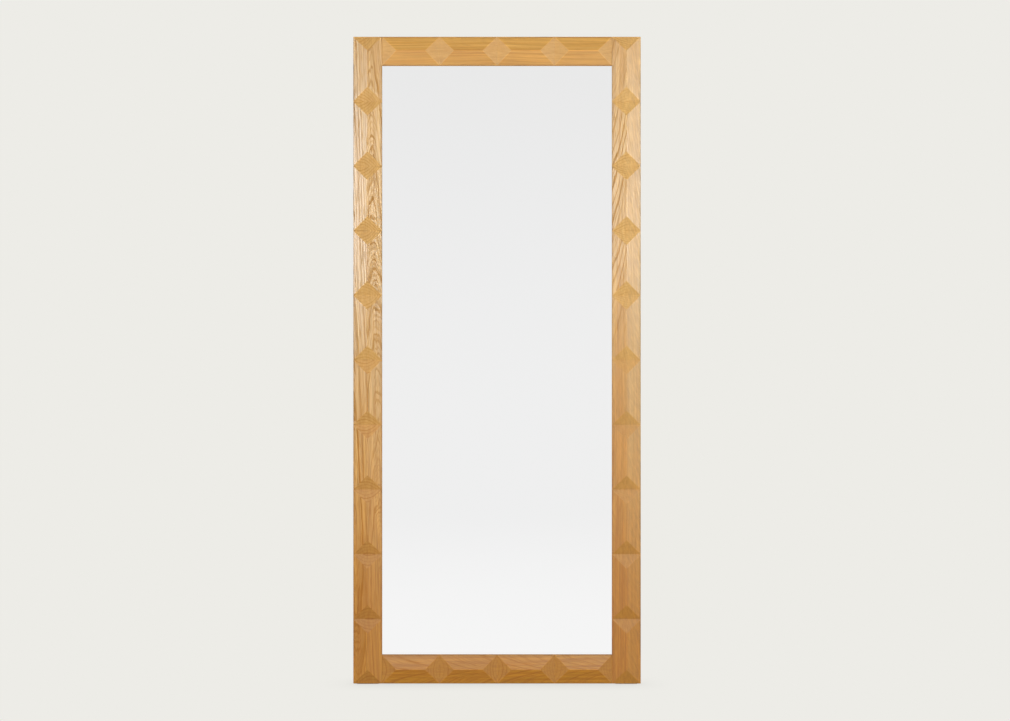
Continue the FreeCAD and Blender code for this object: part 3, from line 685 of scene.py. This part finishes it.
def beech():
    """Bare beech with its short dark flecks."""
    finish = Finish("beech_dowel")
    fleck = finish.spots(scale=(0.25, 1.4, 1.4)).ramp(0.45, 0.15)
    grain = finish.grain(scale=(0.03, 0.9, 0.9), detail=3.0)
    body = finish.mix(grain, BEECH_DEEP, BEECH_PALE)
    body = finish.mix(fleck * 0.4, body, BEECH_FLECK)
    return finish.surface(
        Base_Color=body, Roughness=between(0.55, 0.75, grain), Normal=finish.relief(grain, depth=0.0001)
    )


def silver(settings):
    """The silvered face of the pane, all but perfectly smooth and clear."""
    finish = Finish("silvered_pane")
    haze = finish.grain(scale=(0.004, 0.0, 0.004), detail=2.0)
    body = finish.mix(haze, settings.silver, settings.silver_deep)
    return finish.surface(Base_Color=body, Metallic=1.0, Roughness=0.0)


def pane_edge(settings):
    """Ground float glass, green where it is seen edge on."""
    finish = Finish("pane_edge")
    scratch = finish.grain(scale=(0.6, 0.15, 0.6), detail=3.0)
    body = finish.mix(scratch, settings.edge_green, EDGE_FROST)
    return finish.surface(
        Base_Color=body, Roughness=between(0.25, 0.55, scratch), Normal=finish.relief(scratch, depth=0.00005)
    )


def backing_paint(settings):
    """The paint that seals the silver from behind."""
    finish = Finish("pane_backing_paint")
    curtain = finish.grain(scale=(0.02, 0.0, 0.9), detail=2.0)
    body = finish.mix(curtain, settings.backing, PAINT_CURTAIN)
    return finish.surface(
        Base_Color=body, Roughness=between(0.45, 0.60, curtain), Normal=finish.relief(curtain, depth=0.00004)
    )


def fibreboard(settings):
    """Pressed fibreboard: matted fibres, a few dark shives and a faint sheen from the press."""
    finish = Finish("fibreboard")
    mat = finish.grain(scale=even(0.28), detail=5.0, roughness=0.65)
    hair = finish.grain(scale=(0.9, 0.9, 0.16), detail=3.0, roughness=0.6)
    shive = finish.spots(scale=(0.18, 0.18, 0.05)).ramp(0.16, 0.05)
    cloud = finish.grain(scale=even(0.006), detail=3.0)
    body = finish.mix(mat.ramp(0.3, 0.7), settings.board_dark, settings.board_pale)
    body = finish.mix(shive * 0.5, body, FIBRE_SHIVE)
    shade = 0.78 + 0.22 * cloud + 0.2 * hair
    height = 0.6 * mat + 0.4 * hair
    return finish.surface(
        Base_Color=finish.dimmed(body, shade),
        Roughness=between(0.62, 0.82, mat),
        Normal=finish.relief(height, depth=0.0004),
    )


def zinc(name, settings, spangle, brightness=1.0):
    """Bright zinc plate with faint spangle and handling marks."""
    finish = Finish(name)
    grain = finish.spots(scale=even(spangle))
    mark = finish.grain(scale=(0.5, 0.5, 2.2), detail=4.0, roughness=0.6)
    dull = finish.grain(scale=even(0.12), detail=2.0)
    body = finish.mix(grain, settings.zinc_pale, settings.zinc_dark)
    return finish.surface(
        Base_Color=finish.dimmed(body, brightness * between(0.82, 1.10, dull)),
        Metallic=1.0,
        Roughness=0.22 + 0.16 * mark + 0.14 * dull,
        Normal=finish.relief(mark, depth=0.00005),
    )


def bright_wire(settings):
    """Drawn steel wire, polished where it rubs in its eye."""
    finish = Finish("steel_wire")
    draw = finish.grain(scale=(0.4, 2.5, 0.8), detail=3.0)
    rub = finish.grain(scale=even(0.15), detail=2.0)
    return finish.surface(
        Base_Color=finish.mix(rub, settings.wire_dark, settings.zinc_dark),
        Metallic=1.0,
        Roughness=between(0.16, 0.34, draw),
        Normal=finish.relief(draw, depth=0.00004),
    )


def rubber(settings):
    """Moulded rubber, finely pitted and greyed by bloom."""
    finish = Finish("bumper_rubber")
    pit = finish.grain(scale=even(1.6), detail=4.0, roughness=0.6)
    bloom = finish.grain(scale=even(0.12), detail=3.0)
    body = finish.mix(bloom.ramp(0.35, 0.75), settings.rubber, RUBBER_BLOOM)
    return finish.surface(
        Base_Color=body, Roughness=between(0.58, 0.88, pit), Normal=finish.relief(pit, depth=0.00025)
    )


def felt(settings):
    """Pressed felt with loose fluff."""
    finish = Finish("felt_pad")
    fluff = finish.grain(scale=even(0.9), detail=6.0, roughness=0.7)
    lump = finish.grain(scale=(0.15, 0.15, 0.3), detail=3.0)
    body = finish.mix(fluff.ramp(0.3, 0.7), settings.felt, FELT_FLUFF)
    return finish.surface(
        Base_Color=finish.dimmed(body, between(0.75, 1.20, lump)),
        Roughness=between(0.85, 0.95, fluff),
        Normal=finish.relief(fluff, depth=0.0006),
    )


def foam(settings):
    """Closed-cell foam strip."""
    finish = Finish("foam_strip")
    bubble = finish.spots(scale=even(1.1))
    body = finish.mix(bubble, FOAM_HOLLOW, settings.foam)
    return finish.surface(
        Base_Color=body, Roughness=between(0.8, 0.95, bubble), Normal=finish.relief(bubble, depth=0.0004)
    )


def setting_plastic(settings):
    """Moulded plastic with faint flow marks."""
    finish = Finish("setting_plastic")
    flow = finish.grain(scale=(0.05, 0.3, 0.3), detail=3.0)
    spark = finish.grain(scale=even(2.5), detail=2.0)
    body = finish.mix(flow, settings.setting_block, PLASTIC_FLOW)
    return finish.surface(
        Base_Color=body, Roughness=between(0.38, 0.53, spark), Normal=finish.relief(spark, depth=0.00008)
    )


def dress(names, material):
    """Give carried-over CAD nodes a finish."""
    for name in names:
        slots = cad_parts[name].data.materials
        slots.clear()
        slots.append(material)


def add_object(name, data):
    """Put an object in the scene."""
    made = bpy.data.objects.new(name, data)
    bpy.context.scene.collection.objects.link(made)
    return made


def add_piece(name, mesh, slot, nodes, *materials):
    """Put a finished mesh in the scene in place of the CAD nodes that it stands for."""
    piece = add_object(name, mesh)
    for material in materials:
        mesh.materials.append(material)
    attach(piece, FRAME_BODY)
    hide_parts(*nodes)
    return piece


def mesh_from(bm, name):
    """Turn a bmesh into a mesh with its faces outwards."""
    bmesh.ops.recalc_face_normals(bm, faces=bm.faces)
    mesh = bpy.data.meshes.new(name)
    bm.to_mesh(mesh)
    bm.free()
    return mesh


def box_form(low, high):
    """A bmesh block between two corners."""
    bm = bmesh.new()
    bmesh.ops.create_cube(bm, size=1.0)
    low, high = Vector(low), Vector(high)
    for vert in bm.verts:
        share = vert.co + Vector((0.5, 0.5, 0.5))
        vert.co = [a + (b - a) * s for a, b, s in zip(low, high, share)]
    return bm


def ease(bm, width, segments=2):
    """Round every outward edge over by this width."""
    edges = [edge for edge in bm.edges if edge.is_convex and edge.calc_face_angle(0.0) > SHARP_EDGE]
    bmesh.ops.bevel(
        bm, geom=edges, offset=width, segments=segments, profile=0.5, affect="EDGES", clamp_overlap=True
    )


def cut_out(mesh, boxes):
    """A copy of the mesh with block-shaped rebates taken out of it."""
    work = add_object("rebate_work", mesh)
    cutters = []
    for low, high in boxes:
        cutter = add_object("rebate_cutter", mesh_from(box_form(low, high), "rebate_cutter"))
        cut = work.modifiers.new("rebate", "BOOLEAN")
        cut.operation = "DIFFERENCE"
        cut.solver = "EXACT"
        cut.object = cutter
        cutters.append(cutter)
    view_layer = bpy.context.view_layer
    view_layer.update()
    carved = bpy.data.meshes.new_from_object(work.evaluated_get(view_layer.depsgraph))
    for spare in [work] + cutters:
        bpy.data.objects.remove(spare)
    return carved


def carved_member(name, settings):
    """One frame member: a row of hipped blocks on a straight back."""
    low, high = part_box(name)
    upright = name in STILES
    start, end, near, far = member_spans(name)
    blocks = settings.stile_blocks if upright else settings.rail_blocks
    pitch = (end - start) / blocks
    run = (far - near) / 2
    edge_y = high.y - settings.edge_depth
    bm = bmesh.new()

    def point(across, y, along):
        return bm.verts.new((across, y, along) if upright else (along, y, across))

    near_edge = [point(near, edge_y, start + pitch * k) for k in range(blocks + 1)]
    far_edge = [point(far, edge_y, start + pitch * k) for k in range(blocks + 1)]
    for k in range(blocks):
        ridge_start = point(near + run, low.y, start + pitch * k + run)
        ridge_end = point(near + run, low.y, start + pitch * (k + 1) - run)
        bm.faces.new((near_edge[k], ridge_start, far_edge[k]))
        bm.faces.new((near_edge[k + 1], far_edge[k + 1], ridge_end))
        bm.faces.new((near_edge[k], near_edge[k + 1], ridge_end, ridge_start))
        bm.faces.new((far_edge[k], ridge_start, ridge_end, far_edge[k + 1]))
    corners = ((near, start), (far, start), (far, end), (near, end))
    back = [point(across, high.y, along) for across, along in corners]
    bm.faces.new(back)
    bm.faces.new((near_edge[0], far_edge[0], back[1], back[0]))
    bm.faces.new((near_edge[-1], back[3], back[2], far_edge[-1]))
    bm.faces.new(near_edge + [back[3], back[0]])
    bm.faces.new(far_edge + [back[2], back[1]])
    bmesh.ops.recalc_face_normals(bm, faces=bm.faces)
    ease(bm, settings.arris)
    return mesh_from(bm, name)


def rebate_boxes(settings):
    """The stepped rebate that seats the pane and, behind it, the back panel."""
    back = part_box("left_stile")[1].y + REBATE_OVERRUN
    boxes = []
    for node, room in (("back_panel", settings.panel_room), ("mirror_glass", settings.pane_room)):
        low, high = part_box(node)
        boxes.append(((low.x - room, low.y, low.z - room), (high.x + room, back, high.z + room)))
    return boxes


def soft_piece(kind, name, rounding, material):
    """A soft block with rounded edges in place of a CAD node."""
    bm = box_form(*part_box(name))
    ease(bm, rounding, SOFT_SEGMENTS)
    piece = add_piece(f"{kind}_{name}", mesh_from(bm, name), kind, [name], material)


def pane_side(facing):
    """Which finish a face of the pane takes, by how far it faces backwards."""
    if facing < -FLAT_FACE:
        return SILVERED
    return PAINTED if facing > FLAT_FACE else GROUND


def colour_setting(name, description, default):
    return bpy.props.FloatVectorProperty(
        name=name, description=description, default=default, subtype="COLOR"
    )


def length_setting(name, description, default):
    return bpy.props.FloatProperty(name=name, description=description, default=default, unit="LENGTH")


def share_setting(name, description, default):
    return bpy.props.FloatProperty(name=name, description=description, default=default, subtype="FACTOR")


def plain_setting(name, description, default):
    return bpy.props.FloatProperty(name=name, description=description, default=default)


class CarvedFrameSettings(bpy.types.PropertyGroup):
    """The four oak members."""

    stile_blocks: bpy.props.IntProperty(name="Stile blocks", description="Blocks on a stile", default=10)
    rail_blocks: bpy.props.IntProperty(name="Rail blocks", description="Blocks on a rail", default=4)
    edge_depth: length_setting("Edge depth", "Thickness of a member at its edges", 0.025)
    arris: length_setting("Arris", "Width by which edges are sanded round", 0.0008)
    panel_room: length_setting("Panel room", "Gap round the back panel", 0.001)
    pane_room: length_setting("Pane room", "Gap round the pane", 0.002)
    roughness: share_setting("Lacquer roughness", "Roughness of the lacquered oak", 0.36)
    pale: colour_setting("Pale wood", "Palest summer wood", (0.63, 0.380, 0.106))
    honey: colour_setting("Honey wood", "Deeper summer wood", (0.515, 0.273, 0.054))
    spring_wood: colour_setting("Spring wood", "Porous spring wood", (0.37, 0.163, 0.015))
    # Painted shade: the tint that deepens and darkens the wood low down and at the head of the stiles
    painted_shade: colour_setting("Painted shade", "Tint that the wood takes on lower down", (0.765, 0.560, 0.180))
    # Also tints the painted shade on up-facing hips at mid height
    heart_and_shade_tint: colour_setting("Heart side", "Tint of plain wood on the heart side", (0.955, 0.865, 0.61))
    pore: colour_setting("Pores", "Open pores", (0.17, 0.065, 0.016))


class MirrorPaneSettings(bpy.types.PropertyGroup):
    """The silvered pane."""

    arris: length_setting("Ground arris", "Width of the ground edge", 0.0006)
    silver: colour_setting("Silver", "Colour of the reflection", (0.930, 0.930, 0.930))
    silver_deep: colour_setting("Silver, deeper", "Where it is a shade deeper", (0.926, 0.927, 0.927))
    edge_green: colour_setting("Edge green", "Glass seen edge on", (0.20, 0.40, 0.33))
    backing: colour_setting("Backing paint", "Paint behind the silver", (0.23, 0.25, 0.27))


class BackSettings(bpy.types.PropertyGroup):
    """Everything behind and under the frame."""

    board_pale: colour_setting("Board, pale", "Pale fibres", (0.46, 0.29, 0.165))
    board_dark: colour_setting("Board, dark", "Dark fibres", (0.31, 0.175, 0.090))
    zinc_pale: colour_setting("Zinc, pale", "Bright zinc", (0.76, 0.77, 0.78))
    zinc_dark: colour_setting("Zinc, dark", "Dull zinc", (0.58, 0.59, 0.61))
    wire_dark: colour_setting("Wire, dark", "Drawn steel wire", (0.40, 0.405, 0.42))
    rubber: colour_setting("Rubber", "Bumper rubber", (0.028, 0.027, 0.026))
    felt: colour_setting("Felt", "Foot pad felt", (0.36, 0.300, 0.220))
    foam: colour_setting("Foam", "Foam strips", (0.64, 0.64, 0.62))
    setting_block: colour_setting("Setting block", "Blocks under the pane", (0.040, 0.040, 0.044))
    pad_round: length_setting("Pad round", "How far soft edges are rounded", 0.0005)


class StageSettings(bpy.types.PropertyGroup):
    """Floor, backdrop, lamps and camera."""

    backdrop: colour_setting("Backdrop", "Colour of floor and backdrop", (0.847, 0.839, 0.799))
    reflected_low: share_setting("Reflected floor", "Floor as the pane shows it", 0.985)
    reflected_level: share_setting("Reflected horizon", "Room straight ahead as the pane shows it", 0.928)
    reflected_high: share_setting("Reflected room", "Upper room as the pane shows it", 0.862)
    shadow: share_setting("Shadow", "How dark the contact shadow is", 0.20)
    shadow_reach: length_setting("Shadow reach", "How far the contact shadow spreads", 0.11)
    wash_level: plain_setting("Wash lamps", "Brightness of the two lamps that light the frame evenly", 9.0)
    top_level: plain_setting("Top lamp", "Brightness of the lamp above the frame", 5.2)
    sheen_level: plain_setting("Sheen lamps", "Brightness of the two lamps that the lacquer mirrors", 88.0)
    camera_distance: length_setting("Camera distance", "From the frame's front edge", 5.0)
    millimetres_per_pixel: plain_setting("Scale", "Millimetres of the frame in one pixel", 2.783)
    camera_side: length_setting("Camera side", "Camera to the right of the frame's middle", 0.0222)


class FLOOR_MIRROR_OT_carved_frame(bpy.types.Operator):
    """Make the two stiles and two rails with their hipped blocks"""

    bl_idname = "floor_mirror.carved_frame"
    bl_label = "Carved Frame"

    def execute(self, context):
        settings = context.scene.carved_frame
        for name in STILES + RAILS:
            mesh = cut_out(carved_member(name, settings), rebate_boxes(settings))
            add_piece(f"carved_{name}", mesh, "oak", [name], oak(name, settings))
        return {"FINISHED"}


class FLOOR_MIRROR_OT_dowels(bpy.types.Operator):
    """Finish the beech dowels in the corner joints"""

    bl_idname = "floor_mirror.dowels"
    bl_label = "Dowels"

    def execute(self, context):
        dress(DOWELS, beech())
        return {"FINISHED"}


class FLOOR_MIRROR_OT_mirror_pane(bpy.types.Operator):
    """Make the silvered pane with its ground edges"""

    bl_idname = "floor_mirror.mirror_pane"
    bl_label = "Mirror Pane"

    def execute(self, context):
        settings = context.scene.mirror_pane
        bm = box_form(*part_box("mirror_glass"))
        ease(bm, settings.arris, segments=1)
        mesh = mesh_from(bm, "silvered_pane")
        for face in mesh.polygons:
            face.material_index = pane_side(face.normal.y)
        finishes = (silver(settings), pane_edge(settings), backing_paint(settings))
        add_piece("silvered_pane", mesh, "mirror", ["mirror_glass"], *finishes)
        return {"FINISHED"}


class FLOOR_MIRROR_OT_bedding(bpy.types.Operator):
    """Make the foam strips and finish the setting blocks that bed the pane"""

    bl_idname = "floor_mirror.bedding"
    bl_label = "Bedding"

    def execute(self, context):
        settings = context.scene.mirror_back
        strip_foam = foam(settings)
        for name in CUSHIONS:
            soft_piece("foam", name, settings.pad_round * FOAM_ROUND_SHARE, strip_foam)
        dress(("left_setting_block", "right_setting_block"), setting_plastic(settings))
        return {"FINISHED"}


class FLOOR_MIRROR_OT_back_panel(bpy.types.Operator):
    """Finish the back panel and the screws that hold it"""

    bl_idname = "floor_mirror.back_panel"
    bl_label = "Back Panel"

    def execute(self, context):
        settings = context.scene.mirror_back
        dress(("back_panel",), fibreboard(settings))
        dress(("side_panel_screws", "end_panel_screws"), zinc("zinc_screw", settings, SCREW_SPANGLE))
        return {"FINISHED"}


class FLOOR_MIRROR_OT_hangers(bpy.types.Operator):
    """Finish the two strap hangers, their rings and their screws"""

    bl_idname = "floor_mirror.hangers"
    bl_label = "Hangers"

    def execute(self, context):
        settings = context.scene.mirror_back
        dress(("left_hanger_plate", "right_hanger_plate"), zinc("zinc_plate", settings, PLATE_SPANGLE))
        dress(("left_hanger_ring", "right_hanger_ring"), bright_wire(settings))
        screw_zinc = zinc("zinc_round_screw", settings, SCREW_SPANGLE, DULL_SCREW)
        dress(("left_hanger_screws", "right_hanger_screws"), screw_zinc)
        return {"FINISHED"}


class FLOOR_MIRROR_OT_bumpers(bpy.types.Operator):
    """Finish the rubber wall bumpers and their screws"""

    bl_idname = "floor_mirror.bumpers"
    bl_label = "Wall Bumpers"

    def execute(self, context):
        settings = context.scene.mirror_back
        dress(("left_wall_bumper", "right_wall_bumper"), rubber(settings))
        screw_zinc = zinc("zinc_bumper_screw", settings, SCREW_SPANGLE)
        dress(("left_bumper_screw", "right_bumper_screw"), screw_zinc)
        return {"FINISHED"}


class FLOOR_MIRROR_OT_foot_pads(bpy.types.Operator):
    """Make the felt pads under the stiles"""

    bl_idname = "floor_mirror.foot_pads"
    bl_label = "Foot Pads"

    def execute(self, context):
        settings = context.scene.mirror_back
        pad_felt = felt(settings)
        for name in FOOT_PADS:
            soft_piece("felt", name, settings.pad_round, pad_felt)
        return {"FINISHED"}


def pale_floor(settings):
    """A floor that melts into the backdrop and keeps the soft shadow where the frame stands."""
    finish = Finish("pale_floor")
    reach = {"Distance": settings.shadow_reach}
    open_sky = finish.node("ShaderNodeAmbientOcclusion", {"samples": SHADOW_SAMPLES}, reach, "AO")
    seen = finish.dimmed(settings.backdrop, faded(1.0 - open_sky, by=settings.shadow))
    away = (finish.x * finish.x + finish.y * finish.y) ** 0.5
    near = (away * MILLIMETRE).ramp(*FLOOR_NEAR)
    in_pane = finish.grey(between(settings.reflected_level, settings.reflected_low, near))
    colour = finish.by_ray(lighting=FLOOR_BOUNCE, mirrored=in_pane, seen=seen)
    glow = finish.node("ShaderNodeEmission", None, {"Color": colour, "Strength": 1.0})
    finish.node("ShaderNodeOutputMaterial", None, {"Surface": glow})
    return finish.material


def room_light(settings):
    """Backdrop for the camera, a grey room for the pane, and a soft glow that lights the frame."""
    world = bpy.data.worlds.new("pale_room")
    world.use_nodes = True
    nodes = Nodes(world.node_tree)
    way = nodes.node("ShaderNodeTexCoord", output="Generated")
    rear = nodes.node("ShaderNodeSeparateXYZ", None, {0: way}, "Y")
    up = nodes.node("ShaderNodeSeparateXYZ", None, {0: way}, "Z")
    room = between(settings.reflected_level, settings.reflected_high, up.ramp(*ROOM_CLIMB))
    wall = REAR_LOW + REAR_RISE * up.ramp(*REAR_CLIMB)
    in_pane = nodes.grey(between(room, wall, rear.ramp(*REAR_SPAN)))
    glow = GLOW_GROUND + GLOW_ABOVE * up.ramp(*GLOW_CLIMB) + GLOW_REAR * rear.ramp(*GLOW_REAR_SPAN)
    colour = nodes.by_ray(lighting=nodes.grey(glow), mirrored=in_pane, seen=settings.backdrop)
    shine = nodes.node("ShaderNodeBackground", None, {"Color": colour, "Strength": 1.0})
    nodes.node("ShaderNodeOutputWorld", None, {"Surface": shine})
    return world


def soft_lamp(name, form, level, side=1):
    """A rectangular lamp whose face has this brightness, on the right or, for a side of -1, the left."""
    x, y, z = form.place
    place = Vector((side * x, y, z))
    lamp = bpy.data.lights.new(name, "AREA")
    lamp.shape = "RECTANGLE"
    lamp.size = form.width
    lamp.size_y = form.height
    lamp.energy = level * math.pi * form.width * form.height
    holder = add_object(name, lamp)
    holder.location = place
    holder.rotation_euler = (Vector(form.aim) - place).to_track_quat("-Z", "Y").to_euler()
    return holder


class FLOOR_MIRROR_OT_stage(bpy.types.Operator):
    """Set up the floor, backdrop, lamps and camera"""

    bl_idname = "floor_mirror.stage"
    bl_label = "Stage"

    def execute(self, context):
        settings = context.scene.mirror_stage
        scene = context.scene
        scene.view_settings.view_transform = "Standard"
        scene.world = room_light(settings)
        low, high = CAD_BOX
        bm = bmesh.new()
        bmesh.ops.create_circle(bm, cap_ends=True, segments=FLOOR_SIDES, radius=FLOOR_RADIUS)
        floor = add_object("floor", mesh_from(bm, "floor"))
        floor.location.z = low[2]
        floor.data.materials.append(pale_floor(settings))
        for side, name in ((-1, "left"), (1, "right")):
            wash = soft_lamp(f"{name}_wash_lamp", WASH_LAMP, settings.wash_level, side)
            wash.visible_glossy = False
            sheen = soft_lamp(f"{name}_sheen_lamp", SHEEN_LAMP, settings.sheen_level, side)
            sheen.visible_diffuse = False
            self.keep_from_pane(sheen)
        top = soft_lamp("top_lamp", TOP_LAMP, settings.top_level)
        top.visible_glossy = False
        self.aim_camera(scene, settings, (low[2] + high[2]) / 2)
        return {"FINISHED"}

    @staticmethod
    def keep_from_pane(lamp):
        """Leave the pane out of what this lamp lights, so that it never shows there as a white patch."""
        unlit = bpy.data.collections.new(f"unlit_by_{lamp.name}")
        unlit.objects.link(bpy.data.objects["silvered_pane"])
        unlit.collection_objects[0].light_linking.link_state = "EXCLUDE"
        lamp.light_linking.receiver_collection = unlit

    @staticmethod
    def aim_camera(scene, settings, height):
        """Stand the camera square to the frame, with the scale of the picture at the frame's front edge."""
        edge_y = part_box("left_stile")[1].y - scene.carved_frame.edge_depth
        camera = bpy.data.cameras.new("camera")
        camera.sensor_fit = "HORIZONTAL"
        view_width = settings.millimetres_per_pixel * MILLIMETRE * PHOTO_WIDTH
        camera.lens = camera.sensor_width * settings.camera_distance / view_width
        holder = add_object("camera", camera)
        holder.location = (settings.camera_side, edge_y - settings.camera_distance, height)
        holder.rotation_euler = (math.radians(90.0), 0.0, 0.0)
        scene.camera = holder


OPERATORS = (
    FLOOR_MIRROR_OT_carved_frame,
    FLOOR_MIRROR_OT_dowels,
    FLOOR_MIRROR_OT_mirror_pane,
    FLOOR_MIRROR_OT_bedding,
    FLOOR_MIRROR_OT_back_panel,
    FLOOR_MIRROR_OT_hangers,
    FLOOR_MIRROR_OT_bumpers,
    FLOOR_MIRROR_OT_foot_pads,
    FLOOR_MIRROR_OT_stage,
)

SETTINGS = {
    "carved_frame": CarvedFrameSettings,
    "mirror_pane": MirrorPaneSettings,
    "mirror_back": BackSettings,
    "mirror_stage": StageSettings,
}


class FLOOR_MIRROR_PT_panel(bpy.types.Panel):
    """Lists the steps that dress the mirror and their settings"""

    bl_label = "Floor Mirror"
    bl_idname = "FLOOR_MIRROR_PT_panel"
    bl_space_type = "VIEW_3D"
    bl_region_type = "UI"
    bl_category = "Floor Mirror"

    def draw(self, context):
        for operator in OPERATORS:
            self.layout.operator(operator.bl_idname)
        for name, group in SETTINGS.items():
            box = self.layout.box()
            box.label(text=group.__doc__)
            for setting in group.__annotations__:
                box.prop(getattr(context.scene, name), setting)


CLASSES = tuple(SETTINGS.values()) + OPERATORS + (FLOOR_MIRROR_PT_panel,)


def register():
    for cls in CLASSES:
        bpy.utils.register_class(cls)
    for name, group in SETTINGS.items():
        setattr(bpy.types.Scene, name, bpy.props.PointerProperty(type=group))


def unregister():
    for name in SETTINGS:
        delattr(bpy.types.Scene, name)
    for cls in reversed(CLASSES):
        bpy.utils.unregister_class(cls)


def main():
    register()
    bpy.ops.floor_mirror.carved_frame()
    bpy.ops.floor_mirror.dowels()
    bpy.ops.floor_mirror.mirror_pane()
    bpy.ops.floor_mirror.bedding()
    bpy.ops.floor_mirror.back_panel()
    bpy.ops.floor_mirror.hangers()
    bpy.ops.floor_mirror.bumpers()
    bpy.ops.floor_mirror.foot_pads()
    bpy.ops.floor_mirror.stage()


if __name__ == "__main__":
    main()
